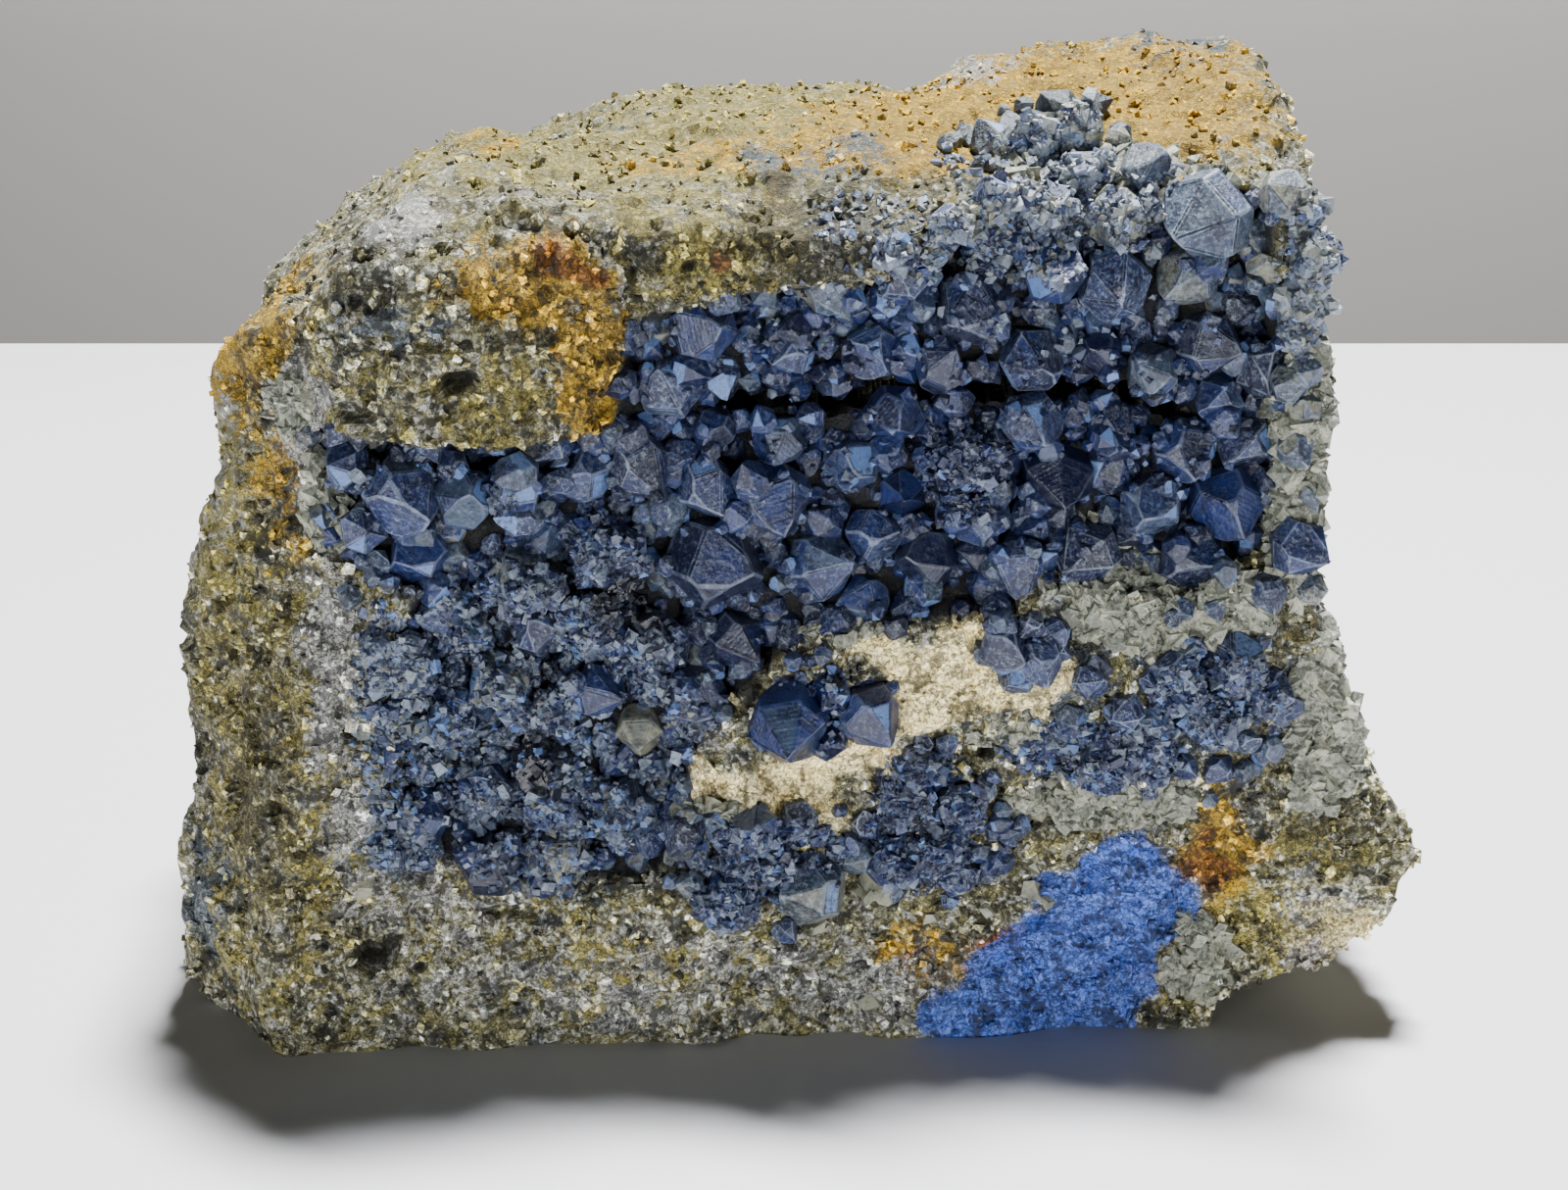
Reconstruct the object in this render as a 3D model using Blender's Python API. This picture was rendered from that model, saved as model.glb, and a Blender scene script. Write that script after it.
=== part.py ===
"""Blue quartz on its matrix: a rough block of pale granular rock that stands on a sawn base,
with stubby six-sided quartz crystals lining a shallow hollow in its front.

Sizes are in metres. +X is right, -Y is the crystal side, +Z is up and the base lies on z = 0.
Each cluster of crystals is one solid, and a thin gap keeps it clear of the rock it grows on.
"""
import math
from collections import namedtuple

import bmesh
import bpy
import numpy as np
from mathutils import Matrix, Vector
from mathutils.bvhtree import BVHTree

MM = 0.001
GAP = 0.3 * MM

# The block: its front and back faces, and how its top rises to the right and to the back
FRONT_Y = -18.5 * MM
FRONT_SKEW = 0.055
BACK_Y = 22.0 * MM
TOP_Z = 62.9 * MM
TOP_RISE_RIGHT = 0.085
TOP_RISE_BACK = 0.05
TOP_TWIST = 2.2
GRID_CELLS = (30, 10, 23)

# Left and right outline of the block, as height and distance from the middle in mm
LEFT_EDGE = ((0, -44.4), (6, -44.6), (20, -43.0), (34, -41.6), (51, -39.0), (68, -37.0))
RIGHT_EDGE = ((0, 33.0), (4, 38.4), (8, 42.6), (13, 45.2), (17, 44.5), (24, 40.2), (30, 38.3),
              (45, 36.8), (56, 36.6), (68, 35.6))

# Flat breaks that take the block's edges off, each a point in mm and the way it faces
Break = namedtuple("Break", "point facing")
BREAKS = (
    Break((-36.2, -20.5, 2.0), (-0.685, -0.729, 0.08)),
    Break((-33.4, 0.0, 54.2), (-0.66, 0.0, 0.75)),
    Break((35.0, 0.0, 65.4), (0.74, -0.12, 0.66)),
    Break((0.0, -15.8, 60.9), (0.05, -0.50, 0.86)),
    Break((0.0, 20.0, 64.4), (-0.05, 0.62, 0.78)),
    Break((38.9, -16.4, 5.2), (0.60, -0.30, -0.74)),
    Break((-41.5, 18.8, 20.0), (-0.72, 0.69, 0.10)),
    Break((37.0, 19.0, 30.0), (0.75, 0.66, 0.05)),
    Break((-43.5, -12.2, 2.0), (-0.60, -0.30, -0.74)),
)

# Lumps of the broken surface: height, length and seed of each family of waves
Lump = namedtuple("Lump", "height length seed")
LUMPS = (Lump(0.55 * MM, 19 * MM, 11), Lump(0.30 * MM, 7.5 * MM, 12))

# The ledge stands proud above the left row of crystals
LEDGE_X = (-33.5 * MM, -10.9 * MM)
LEDGE_Z = (44.3 * MM, 63.0 * MM)
LEDGE_PROUD = 2.4 * MM
EDGE_SOFTNESS = 0.8 * MM

# The hollow: its rim in mm, and a flat floor that is deeper towards the top
HOLLOW_RIM = ((-31.5, 37.5), (-31.5, 45.6), (-11.2, 44.3), (-10.3, 52.4), (-3.8, 54.2),
              (6.5, 55.4), (14.5, 59.5), (23.0, 61.2), (31.8, 60.6), (33.6, 50.0), (33.8, 37.0),
              (28.0, 33.6), (17.0, 34.5), (14.0, 32.5), (1.0, 31.2), (-3.2, 27.0), (-6.6, 22.5),
              (-7.4, 14.6), (-16.8, 11.6), (-26.0, 15.6), (-27.0, 27.5), (-24.8, 34.4))
FLOOR_DEPTH_LOW = 1.4 * MM
FLOOR_DEEPENING = 0.05
FLOOR_LOW_Z = 12 * MM
RIM_DRAFT = 0.7 * MM
SHEET_THICKNESS = 1.2 * MM

# The dark cleft that runs through the hollow under the upper crystals
CLEFT_RIM = ((-5.0, 45.8), (-0.5, 46.5), (3.8, 45.9), (8.0, 47.0), (14.8, 46.7), (21.5, 46.8),
             (27.6, 45.2), (27.8, 46.0), (21.5, 48.0), (14.8, 47.9), (8.0, 48.2), (3.8, 47.1),
             (-0.5, 47.4), (-4.8, 46.6))
CLEFT_DEPTH = 11 * MM

# Small holes in the rock face, as place across, place up and radius in mm
PITS = ((-29.3, 7.1, 1.5), (-21.6, 49.6, 1.4), (-27.6, 55.2, 1.0), (-24.0, 55.4, 0.9),
        (-26.2, 5.9, 0.8))

# Crystals: length of the short prism and of each pyramid, as shares of the corner radius
PRISM_SHARE = 0.30
PYRAMID_SHARE = 1.08
LEAN_LIMIT = math.radians(52)

# The large crystals of the hollow, as place across, place up and corner radius in mm
UPPER_CRYSTALS = ((28.5, 59.3, 3.3), (22.3, 54.6, 2.7), (27.3, 55.0, 2.2), (22.6, 58.8, 2.2),
                  (32.6, 55.6, 1.7), (12.6, 53.0, 2.9), (-5.4, 52.0, 2.5), (21.6, 50.0, 1.9),
                  (28.7, 50.4, 2.4), (5.9, 50.2, 2.1), (0.3, 50.2, 1.9))
MIDDLE_CRYSTALS = ((29.8, 46.6, 1.9), (-0.3, 44.2, 2.0), (-4.8, 44.9, 1.6), (-0.7, 40.2, 2.8),
                   (4.6, 42.3, 2.1), (8.2, 40.3, 1.8), (12.4, 42.4, 2.5), (13.4, 38.6, 2.3),
                   (18.9, 41.1, 2.8), (9.9, 35.6, 2.4), (22.9, 43.4, 1.7), (30.7, 39.4, 2.9),
                   (-4.8, 35.6, 3.6), (-12.0, 36.4, 2.9), (2.4, 35.3, 2.6), (-3.6, 30.0, 2.3))
ROW_CRYSTALS = ((-29.2, 43.2, 1.8), (-25.6, 41.2, 2.9), (-21.6, 41.0, 2.4), (-18.2, 41.6, 2.3),
                (-28.4, 39.0, 1.8))
LOWER_LEFT_CRYSTALS = ((-17.1, 31.0, 1.9), (-13.1, 26.7, 2.1), (-10.2, 23.4, 2.0),
                       (-23.2, 24.4, 2.0), (-20.6, 19.6, 2.1), (-11.3, 17.6, 2.5))
ROW_PROUD = 1.8 * MM

# Scattered crystals fill what is left: seed, largest and smallest radius, tries and spacing
Scatter = namedtuple("Scatter", "seed largest smallest tries spacing")
HOLLOW_SCATTER = Scatter(21, 2.6 * MM, 1.7 * MM, 2600, 0.82)
SCATTER_INSET = 0.3 * MM
CLEFT_CLEARANCE = 0.35

# Clusters outside the hollow: name, colour, crystals in mm, and radius of their common root
Cluster = namedtuple("Cluster", "node tint crystals root")
CLUSTERS = (
    Cluster("quartz_centre_cluster", (0.05, 0.075, 0.16), ((0.4, 25.0, 3.0), (5.9, 25.2, 2.4),
            (3.2, 26.9, 1.7), (3.0, 23.4, 1.6)), 3.0),
    Cluster("quartz_pair_cluster", (0.07, 0.09, 0.15), ((15.2, 30.0, 1.9), (17.6, 29.2, 1.7),
            (16.2, 28.0, 1.5)), 2.0),
    Cluster("quartz_foot_cluster", (0.06, 0.09, 0.18), ((-4.6, 17.4, 1.6), (-1.9, 17.4, 1.9),
            (0.9, 17.2, 1.7), (-3.9, 12.3, 2.4), (-3.2, 14.9, 1.8), (2.0, 12.0, 2.7),
            (-0.9, 14.6, 1.8)), 4.2),
    Cluster("quartz_knoll_cluster", (0.06, 0.08, 0.14), ((8.6, 18.6, 2.4), (10.6, 14.6, 2.3),
            (7.6, 13.6, 2.1), (12.8, 18.2, 1.9), (9.6, 21.0, 1.6), (12.4, 11.8, 1.6)), 3.8),
    Cluster("quartz_right_cluster", (0.07, 0.09, 0.14), ((27.2, 27.4, 2.3), (31.4, 28.4, 2.5),
            (29.6, 24.6, 2.3), (25.4, 23.6, 2.0), (33.9, 26.0, 1.8), (22.4, 21.2, 2.0)), 4.4),
)
TOP_CLUSTER = Cluster("quartz_top_cluster", (0.09, 0.11, 0.15), ((14.6, -13.8, 1.8),
                      (17.4, -14.6, 2.0), (20.2, -14.0, 1.9), (16.0, -11.0, 1.7),
                      (19.0, -11.2, 1.7)), 2.8)


def clear_scene():
    """Remove every object of the scene that is open."""
    for item in list(bpy.data.objects):
        bpy.data.objects.remove(item, do_unlink=True)


def new_collection(name):
    """Add a collection to the scene."""
    group = bpy.data.collections.new(name)
    bpy.context.scene.collection.children.link(group)
    return group


def plain_material(name, colour, roughness):
    """Make a Principled material of one colour."""
    material = bpy.data.materials.new(name)
    material.use_nodes = True
    shader = material.node_tree.nodes["Principled BSDF"]
    shader.inputs["Base Color"].default_value = (*colour, 1.0)
    shader.inputs["Roughness"].default_value = roughness
    shader.inputs["Metallic"].default_value = 0.0
    return material


def add_object(name, shape, group, material=None):
    """Put a bmesh into a new object of a collection, and free it."""
    mesh = bpy.data.meshes.new(name)
    shape.to_mesh(mesh)
    shape.free()
    item = bpy.data.objects.new(name, mesh)
    group.objects.link(item)
    if material:
        mesh.materials.append(material)
    return item


def add_cutter(name, shape, group):
    """Put a bmesh into an object that only cuts or guides others."""
    item = add_object(name, shape, group)
    item.hide_render = True
    item.display_type = "WIRE"
    return item


def boolean(item, operation, other, crossing=False):
    """Give an object an exact Boolean modifier; crossing says that a mesh crosses itself."""
    modifier = item.modifiers.new(f"{operation.lower()} {other.name}", "BOOLEAN")
    modifier.operation = operation
    modifier.object = other
    modifier.solver = "EXACT"
    modifier.use_self = crossing


def evaluated_shape(item):
    """Return an object's evaluated mesh as a bmesh."""
    depsgraph = bpy.context.evaluated_depsgraph_get()
    mesh = bpy.data.meshes.new_from_object(item.evaluated_get(depsgraph))
    shape = bmesh.new()
    shape.from_mesh(mesh)
    bpy.data.meshes.remove(mesh)
    return shape


def soft_step(value):
    """Rise smoothly from 0 to 1 while a value goes from 0 to 1."""
    t = np.clip(value, 0.0, 1.0)
    return t * t * (3.0 - 2.0 * t)


def edge_at(heights, edge):
    """Read an outline, given as height and distance in mm, at some heights."""
    rows = np.array(edge) * MM
    return np.interp(heights, rows[:, 0], rows[:, 1])


def waves(points, lump):
    """Return a smooth random push for each point: sine waves that run in random directions."""
    random = np.random.default_rng(lump.seed)
    count = 14
    push = np.zeros_like(points)
    for axis in range(3):
        ways = random.normal(size=(count, 3))
        ways /= np.linalg.norm(ways, axis=1)[:, None]
        lengths = lump.length * random.uniform(0.7, 1.6, count)
        phases = random.uniform(0.0, 2.0 * math.pi, count)
        turns = points @ (2.0 * math.pi * ways / lengths[:, None]).T + phases
        push[:, axis] = np.sin(turns).sum(axis=1)
    return push * lump.height * math.sqrt(2.0 / count)


def front_plane(x):
    """Return where the plain front face is, at a distance to the right."""
    return FRONT_Y + FRONT_SKEW * x


def ledge_push(x, z):
    """Return how far the upper left ledge stands in front of the plain face."""
    across = soft_step((x - LEDGE_X[0]) / EDGE_SOFTNESS) * soft_step((LEDGE_X[1] - x) / EDGE_SOFTNESS)
    return LEDGE_PROUD * across * soft_step((z - LEDGE_Z[0]) / EDGE_SOFTNESS + 1.0)


def block_points(unit):
    """Turn points of a cube from -1 to 1 into points of the rough block's surface."""
    share_x, share_y, share_z = (unit.T + 1.0) / 2.0
    z = share_z * TOP_Z
    for _ in range(2):
        left = edge_at(z, LEFT_EDGE)
        right = edge_at(z, RIGHT_EDGE)
        x = left + (right - left) * share_x
        front = front_plane(x)
        y = front + (BACK_Y - front) * share_y
        z = share_z * (TOP_Z + TOP_RISE_RIGHT * x + TOP_RISE_BACK * y + TOP_TWIST * x * y)
    y = y - ledge_push(x, z) * (1.0 - share_y) ** 4
    points = np.stack((x, y, z), axis=1)
    for cut in BREAKS:
        facing = np.array(cut.facing) / np.linalg.norm(cut.facing)
        excess = (points - np.array(cut.point) * MM) @ facing
        points -= np.maximum(excess, 0.0)[:, None] * facing
    points += sum(waves(points, lump) for lump in LUMPS)
    points[:, 2] = np.where(share_z < 1e-6, 0.0, np.maximum(points[:, 2], 0.3 * MM))
    return points


def block_shape(growth=0.0):
    """Make the block from a gridded cube; growth moves its surface out along its normals."""
    shape = bmesh.new()
    bmesh.ops.create_cube(shape, size=2.0)
    for axis, cells in enumerate(GRID_CELLS):
        along = [e for e in shape.edges if abs(e.verts[0].co[axis] - e.verts[1].co[axis]) > 1.0]
        bmesh.ops.subdivide_edges(shape, edges=along, cuts=cells - 1, use_grid_fill=True)
    unit = np.array([corner.co for corner in shape.verts])
    for corner, place in zip(shape.verts, block_points(unit)):
        corner.co = place
    bmesh.ops.triangulate(shape, faces=shape.faces, quad_method="FIXED")
    shape.normal_update()
    if growth:
        for corner, normal in [(v, v.normal.copy()) for v in shape.verts]:
            corner.co += normal * growth
    base = [f for f in shape.faces if all(abs(v.co.z - f.verts[0].co.z) < 1e-7 for v in f.verts)]
    bmesh.ops.dissolve_faces(shape, faces=[f for f in base if f.calc_center_median().z < MM])
    return shape


def offset_outline(outline, distance):
    """Move a counter-clockwise or clockwise outline inwards by a distance, corner by corner."""
    points = np.array(outline) * MM
    before = points - np.roll(points, 1, axis=0)
    after = np.roll(points, -1, axis=0) - points
    turn = np.sign((points[:, 0] * np.roll(points[:, 1], -1)
                    - np.roll(points[:, 0], -1) * points[:, 1]).sum())
    normals = []
    for run in (before, after):
        run = run / np.linalg.norm(run, axis=1)[:, None]
        normals.append(turn * np.stack((-run[:, 1], run[:, 0]), axis=1))
    middle = normals[0] + normals[1]
    middle /= np.linalg.norm(middle, axis=1)[:, None]
    reach = 1.0 / np.maximum((middle * normals[0]).sum(axis=1), 0.5)
    return points + middle * (distance * reach)[:, None]


def hollow_floor(x, z):
    """Return the depth at which the hollow's flat floor lies."""
    return front_plane(x) + FLOOR_DEPTH_LOW + FLOOR_DEEPENING * (z - FLOOR_LOW_Z)


def lofted_prism(front_loop, front_y, back_loop, back_y):
    """Close a solid between two loops of the same points; each y is a number or a function."""
    shape = bmesh.new()
    rings = []
    for loop, depth in ((front_loop, front_y), (back_loop, back_y)):
        places = [(x, depth(x, z) if callable(depth) else depth, z) for x, z in loop]
        rings.append([shape.verts.new(place) for place in places])
    shape.faces.new(rings[0])
    shape.faces.new(rings[1])
    bmesh.ops.bridge_loops(shape, edges=[e for e in shape.edges])
    bmesh.ops.recalc_face_normals(shape, faces=shape.faces)
    return shape


def hollow_shape(inset, floor_lift):
    """Make the hollow's solid; inset and lift shrink it by the gap for the crystal sheet."""
    rim = offset_outline(HOLLOW_RIM, inset - RIM_DRAFT)
    floor = offset_outline(HOLLOW_RIM, inset + RIM_DRAFT)
    return lofted_prism(rim, FRONT_Y - 9 * MM, floor, lambda x, z: hollow_floor(x, z) - floor_lift)


def sheet_shape():
    """Make the thin sheet of quartz on the hollow's floor that the crystals stand on."""
    outline = offset_outline(HOLLOW_RIM, RIM_DRAFT + 2.0 * GAP)
    return lofted_prism(outline, lambda x, z: hollow_floor(x, z) - GAP - SHEET_THICKNESS,
                        outline, lambda x, z: hollow_floor(x, z) + GAP)


def cleft_shape(widening):
    """Make the cleft's solid, wider by some distance for the crystals beside it."""
    rim = offset_outline(CLEFT_RIM, -widening)
    return lofted_prism(rim, FRONT_Y - 9 * MM, rim, lambda x, z: hollow_floor(x, z) + CLEFT_DEPTH)


def crystal_shape(radius, random):
    """Make a short six-sided prism with a pyramid at each end, its long axis along Z."""
    crystal = bmesh.new()
    half = PRISM_SHARE * radius
    bmesh.ops.create_cone(crystal, segments=6, radius1=radius, radius2=radius, depth=2.0 * half,
                          cap_ends=True)
    caps = [f for f in crystal.faces if len(f.verts) == 6]
    tips = bmesh.ops.poke(crystal, faces=caps, offset=PYRAMID_SHARE * radius)["verts"]
    for tip in sorted(tips, key=lambda corner: corner.co.z):
        tip.co.x += random.uniform(-0.22, 0.22) * radius
        tip.co.y += random.uniform(-0.22, 0.22) * radius
    return crystal


def move_into(shape, extra):
    """Add a bmesh to another one, and free it."""
    mesh = bpy.data.meshes.new("extra")
    extra.to_mesh(mesh)
    extra.free()
    shape.from_mesh(mesh)
    bpy.data.meshes.remove(mesh)


def place_crystals(places, surface, outward, proud, random):
    """Join crystals into one bmesh that may cross itself.

    Each place is a point of the rock and a radius. A crystal's axis leans away from the
    rock's own direction by a random angle, and its middle is a little in front of the rock.
    """
    joined = bmesh.new()
    for start, radius in places:
        hit = surface.ray_cast(start, -outward)[0]
        if hit is None:
            continue
        lean = LEAN_LIMIT * math.sqrt(random.uniform())
        round_axis = random.uniform(0.0, 2.0 * math.pi)
        spin = random.uniform(0.0, math.pi / 3.0)
        crystal = crystal_shape(radius, random)
        turn = (outward.to_track_quat("Z", "Y").to_matrix().to_4x4()
                @ Matrix.Rotation(round_axis, 4, "Z") @ Matrix.Rotation(lean, 4, "X")
                @ Matrix.Rotation(spin, 4, "Z"))
        centre = hit + outward * (0.30 * radius + proud)
        bmesh.ops.transform(crystal, matrix=Matrix.Translation(centre) @ turn,
                            verts=crystal.verts)
        move_into(joined, crystal)
    return joined


def inside_outline(x, z, outline):
    """Tell whether a point lies inside an outline, by counting the edges that it looks at."""
    inside = False
    for (x0, z0), (x1, z1) in zip(outline, np.roll(outline, -1, axis=0)):
        if (z0 > z) != (z1 > z) and x < x0 + (z - z0) * (x1 - x0) / (z1 - z0):
            inside = not inside
    return inside


def near_cleft(x, z, radius):
    """Tell whether a crystal would close the cleft."""
    rim = offset_outline(CLEFT_RIM, -CLEFT_CLEARANCE * radius)
    return inside_outline(x, z, rim)


def scatter_crystals(taken, others, scatter):
    """Fill the hollow with crystals that keep their spacing, and stay clear of the others."""
    random = np.random.default_rng(scatter.seed)
    rim = offset_outline(HOLLOW_RIM, SCATTER_INSET)
    low, high = rim.min(axis=0), rim.max(axis=0)
    crystals = list(taken)
    for turn in range(scatter.tries):
        x, z = random.uniform(low, high)
        share = turn / scatter.tries
        radius = scatter.largest + (scatter.smallest - scatter.largest) * share
        if not inside_outline(x, z, rim) or near_cleft(x, z, radius):
            continue
        if any(math.hypot(x - a, z - b) < radius + r + 2.0 * GAP for a, b, r in others):
            continue
        if all(math.hypot(x - a, z - b) > scatter.spacing * (radius + r) for a, b, r in crystals):
            crystals.append((x, z, radius))
    return crystals[len(taken):]


def in_metres(crystals):
    """Turn crystals given in mm into metres."""
    return [tuple(value * MM for value in crystal) for crystal in crystals]


def front_starts(crystals):
    """Give each crystal a point in front of the rock to start from."""
    return [(Vector((x, FRONT_Y - 12 * MM, z)), radius) for x, z, radius in crystals]


def keep_largest_body(shape):
    """Delete the loose bodies of a bmesh apart from the one with the most faces."""
    left = set(shape.faces)
    bodies = []
    while left:
        body = {left.pop()}
        edge_of = list(body)
        while edge_of:
            for edge in edge_of.pop().edges:
                for face in edge.link_faces:
                    if face in left:
                        left.discard(face)
                        body.add(face)
                        edge_of.append(face)
        bodies.append(body)
    bodies.sort(key=len)
    loose = [face for body in bodies[:-1] for face in body]
    bmesh.ops.delete(shape, geom=loose, context="FACES")


def finish_quartz(name, draft, group, material):
    """Bake a draft's Booleans into a new object that is one closed body, and drop the draft."""
    shape = evaluated_shape(draft)
    bpy.data.objects.remove(draft, do_unlink=True)
    keep_largest_body(shape)
    return add_object(name, shape, group, material)


def build_rock(parts, cutters):
    """Make the matrix rock: the block less its hollow, cleft and pits."""
    material = plain_material("granular matrix", (0.42, 0.41, 0.33), 0.9)
    rock = add_object("matrix_rock", block_shape(), parts, material)
    hollow = add_cutter("hollow_cutter", hollow_shape(0.0, 0.0), cutters)
    boolean(rock, "DIFFERENCE", hollow)
    boolean(rock, "DIFFERENCE", add_cutter("cleft_cutter", cleft_shape(0.0), cutters))
    surface = BVHTree.FromBMesh(evaluated_shape(rock))
    pits = bmesh.new()
    for x, z, radius in in_metres(PITS):
        mouth = surface.ray_cast(Vector((x, FRONT_Y - 12 * MM, z)), Vector((0, 1, 0)))[0]
        place = Matrix.Translation(mouth) @ Matrix.Diagonal((radius, 1.4 * radius, 0.8 * radius, 1))
        bmesh.ops.create_icosphere(pits, subdivisions=1, radius=1.0, matrix=place)
    boolean(rock, "DIFFERENCE", add_cutter("pit_cutter", pits, cutters))
    return rock, surface


def build_grown_rock(cutters):
    """Make the rock's outside grown by the gap, which trims the back of every crystal."""
    grown = add_cutter("grown_rock", block_shape(growth=GAP * 1.15), cutters)
    inner = add_cutter("grown_hollow", hollow_shape(GAP, GAP), cutters)
    boolean(grown, "DIFFERENCE", inner)
    return grown


def build_hollow_druse(surface, grown, parts, cutters):
    """Make the crust that lines the hollow: its sheet and all its crystals as one solid."""
    random = np.random.default_rng(5)
    even = in_metres(UPPER_CRYSTALS + MIDDLE_CRYSTALS + LOWER_LEFT_CRYSTALS)
    row = in_metres(ROW_CRYSTALS)
    others = in_metres([crystal for cluster in CLUSTERS for crystal in cluster.crystals])
    even += scatter_crystals(even + row, others, HOLLOW_SCATTER)
    outward = Vector((0, -1, 0))
    crystals = place_crystals(front_starts(even), surface, outward, 0.0, random)
    proud = place_crystals(front_starts(row), surface, outward, ROW_PROUD, random)
    move_into(crystals, proud)
    draft = add_object("druse_draft", sheet_shape(), cutters)
    boolean(draft, "DIFFERENCE", add_cutter("wide_cleft_cutter", cleft_shape(GAP), cutters))
    boolean(draft, "UNION", add_cutter("druse_crystals", crystals, cutters), crossing=True)
    boolean(draft, "DIFFERENCE", grown)
    material = plain_material("blue quartz", (0.05, 0.08, 0.18), 0.25)
    return finish_quartz("quartz_main_druse", draft, parts, material)


def build_cluster(cluster, starts, outward, surface, grown, parts, cutters):
    """Make one cluster: its crystals and a low root that joins them, clear of the rock."""
    random = np.random.default_rng(len(cluster.node) + len(cluster.crystals))
    crystals = place_crystals(starts, surface, outward, 0.0, random)
    middle = sum((start for start, _ in starts), Vector()) / len(starts)
    foot = surface.ray_cast(middle, -outward)[0]
    turn = outward.to_track_quat("Z", "Y").to_matrix().to_4x4()
    size = Matrix.Diagonal((cluster.root * MM, cluster.root * MM, 1.6 * MM, 1))
    root = bmesh.new()
    bmesh.ops.create_icosphere(root, subdivisions=1, radius=1.0,
                               matrix=Matrix.Translation(foot) @ turn @ size)
    draft = add_object("cluster_draft", root, cutters)
    joined = add_cutter(f"{cluster.node}_crystals", crystals, cutters)
    boolean(draft, "UNION", joined, crossing=True)
    boolean(draft, "DIFFERENCE", grown)
    material = plain_material(cluster.node.replace("_", " "), cluster.tint, 0.3)
    return finish_quartz(cluster.node, draft, parts, material)


def main():
    """Build the rock and every cluster of quartz on it."""
    clear_scene()
    parts = new_collection("blue quartz on matrix")
    cutters = new_collection("cutters")
    _, surface = build_rock(parts, cutters)
    grown = build_grown_rock(cutters)
    build_hollow_druse(surface, grown, parts, cutters)
    for cluster in CLUSTERS:
        starts = front_starts(in_metres(cluster.crystals))
        build_cluster(cluster, starts, Vector((0, -1, 0)), surface, grown, parts, cutters)
    starts = [(Vector((x, y, TOP_Z + 12 * MM)), r) for x, y, r in in_metres(TOP_CLUSTER.crystals)]
    above = Vector((0.0, -0.45, 0.89))
    build_cluster(TOP_CLUSTER, starts, above, surface, grown, parts, cutters)


main()
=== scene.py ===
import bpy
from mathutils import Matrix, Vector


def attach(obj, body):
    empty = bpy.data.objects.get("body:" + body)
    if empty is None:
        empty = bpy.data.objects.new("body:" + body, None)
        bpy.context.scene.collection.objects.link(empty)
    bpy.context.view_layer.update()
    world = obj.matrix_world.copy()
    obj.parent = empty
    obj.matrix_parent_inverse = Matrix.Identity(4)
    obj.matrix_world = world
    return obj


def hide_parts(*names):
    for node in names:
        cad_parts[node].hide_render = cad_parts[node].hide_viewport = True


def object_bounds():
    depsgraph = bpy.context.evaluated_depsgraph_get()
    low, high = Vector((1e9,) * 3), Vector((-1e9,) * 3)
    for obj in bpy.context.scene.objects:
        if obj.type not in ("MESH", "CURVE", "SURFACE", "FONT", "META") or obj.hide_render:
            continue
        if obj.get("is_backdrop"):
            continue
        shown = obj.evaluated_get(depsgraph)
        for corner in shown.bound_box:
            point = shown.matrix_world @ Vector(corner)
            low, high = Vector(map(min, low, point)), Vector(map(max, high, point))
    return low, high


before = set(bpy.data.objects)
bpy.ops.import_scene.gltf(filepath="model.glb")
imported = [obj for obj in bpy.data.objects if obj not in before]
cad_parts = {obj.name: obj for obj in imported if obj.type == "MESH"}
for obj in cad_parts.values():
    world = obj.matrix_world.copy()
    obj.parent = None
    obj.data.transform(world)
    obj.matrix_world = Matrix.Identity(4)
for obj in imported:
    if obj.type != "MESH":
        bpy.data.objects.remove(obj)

"""Looks of a blue quartz specimen: a granular block with crystals in a hollow of its front.

Sizes are in metres in the frame's own axes: +X right, -Y towards the crystal side, +Z up.
"""
import itertools
import logging
import math
from collections.abc import Callable, Sequence
from dataclasses import dataclass, field
from enum import Enum

import bmesh
import bpy
import numpy as np
from mathutils import Matrix, Vector
from mathutils.bvhtree import BVHTree

log = logging.getLogger("specimen")
logging.basicConfig(level=logging.INFO, format="%(message)s")

MM = 0.001
Places = Sequence[tuple[float, ...]]
CAD_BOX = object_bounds()
HOLLOW_RIM: Places = ((-31.5, 37.5), (-31.5, 45.6), (-11.2, 44.3), (-10.3, 52.4), (-3.8, 54.2),
                      (6.5, 55.4), (14.5, 59.5), (23.0, 61.2), (31.8, 60.6), (33.6, 50.0),
                      (33.8, 37.0), (28.0, 33.6), (17.0, 34.5), (14.0, 32.5), (1.0, 31.2),
                      (-3.2, 27.0), (-6.6, 22.5), (-7.4, 14.6), (-16.8, 11.6), (-26.0, 15.6),
                      (-27.0, 27.5), (-24.8, 34.4))


def srgb(red: int, green: int, blue: int) -> tuple[float, float, float, float]:
    """Return a display colour, 0 to 255, as the linear colour that a shader takes."""
    parts = [channel / 255.0 for channel in (red, green, blue)]
    linear = [c / 12.92 if c <= 0.04045 else ((c + 0.055) / 1.055) ** 2.4 for c in parts]
    return (*linear, 1.0)


def soft_step(value: np.ndarray) -> np.ndarray:
    """Rise smoothly from 0 to 1 while a value goes from 0 to 1."""
    t = np.clip(value, 0.0, 1.0)
    return t * t * (3.0 - 2.0 * t)


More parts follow.
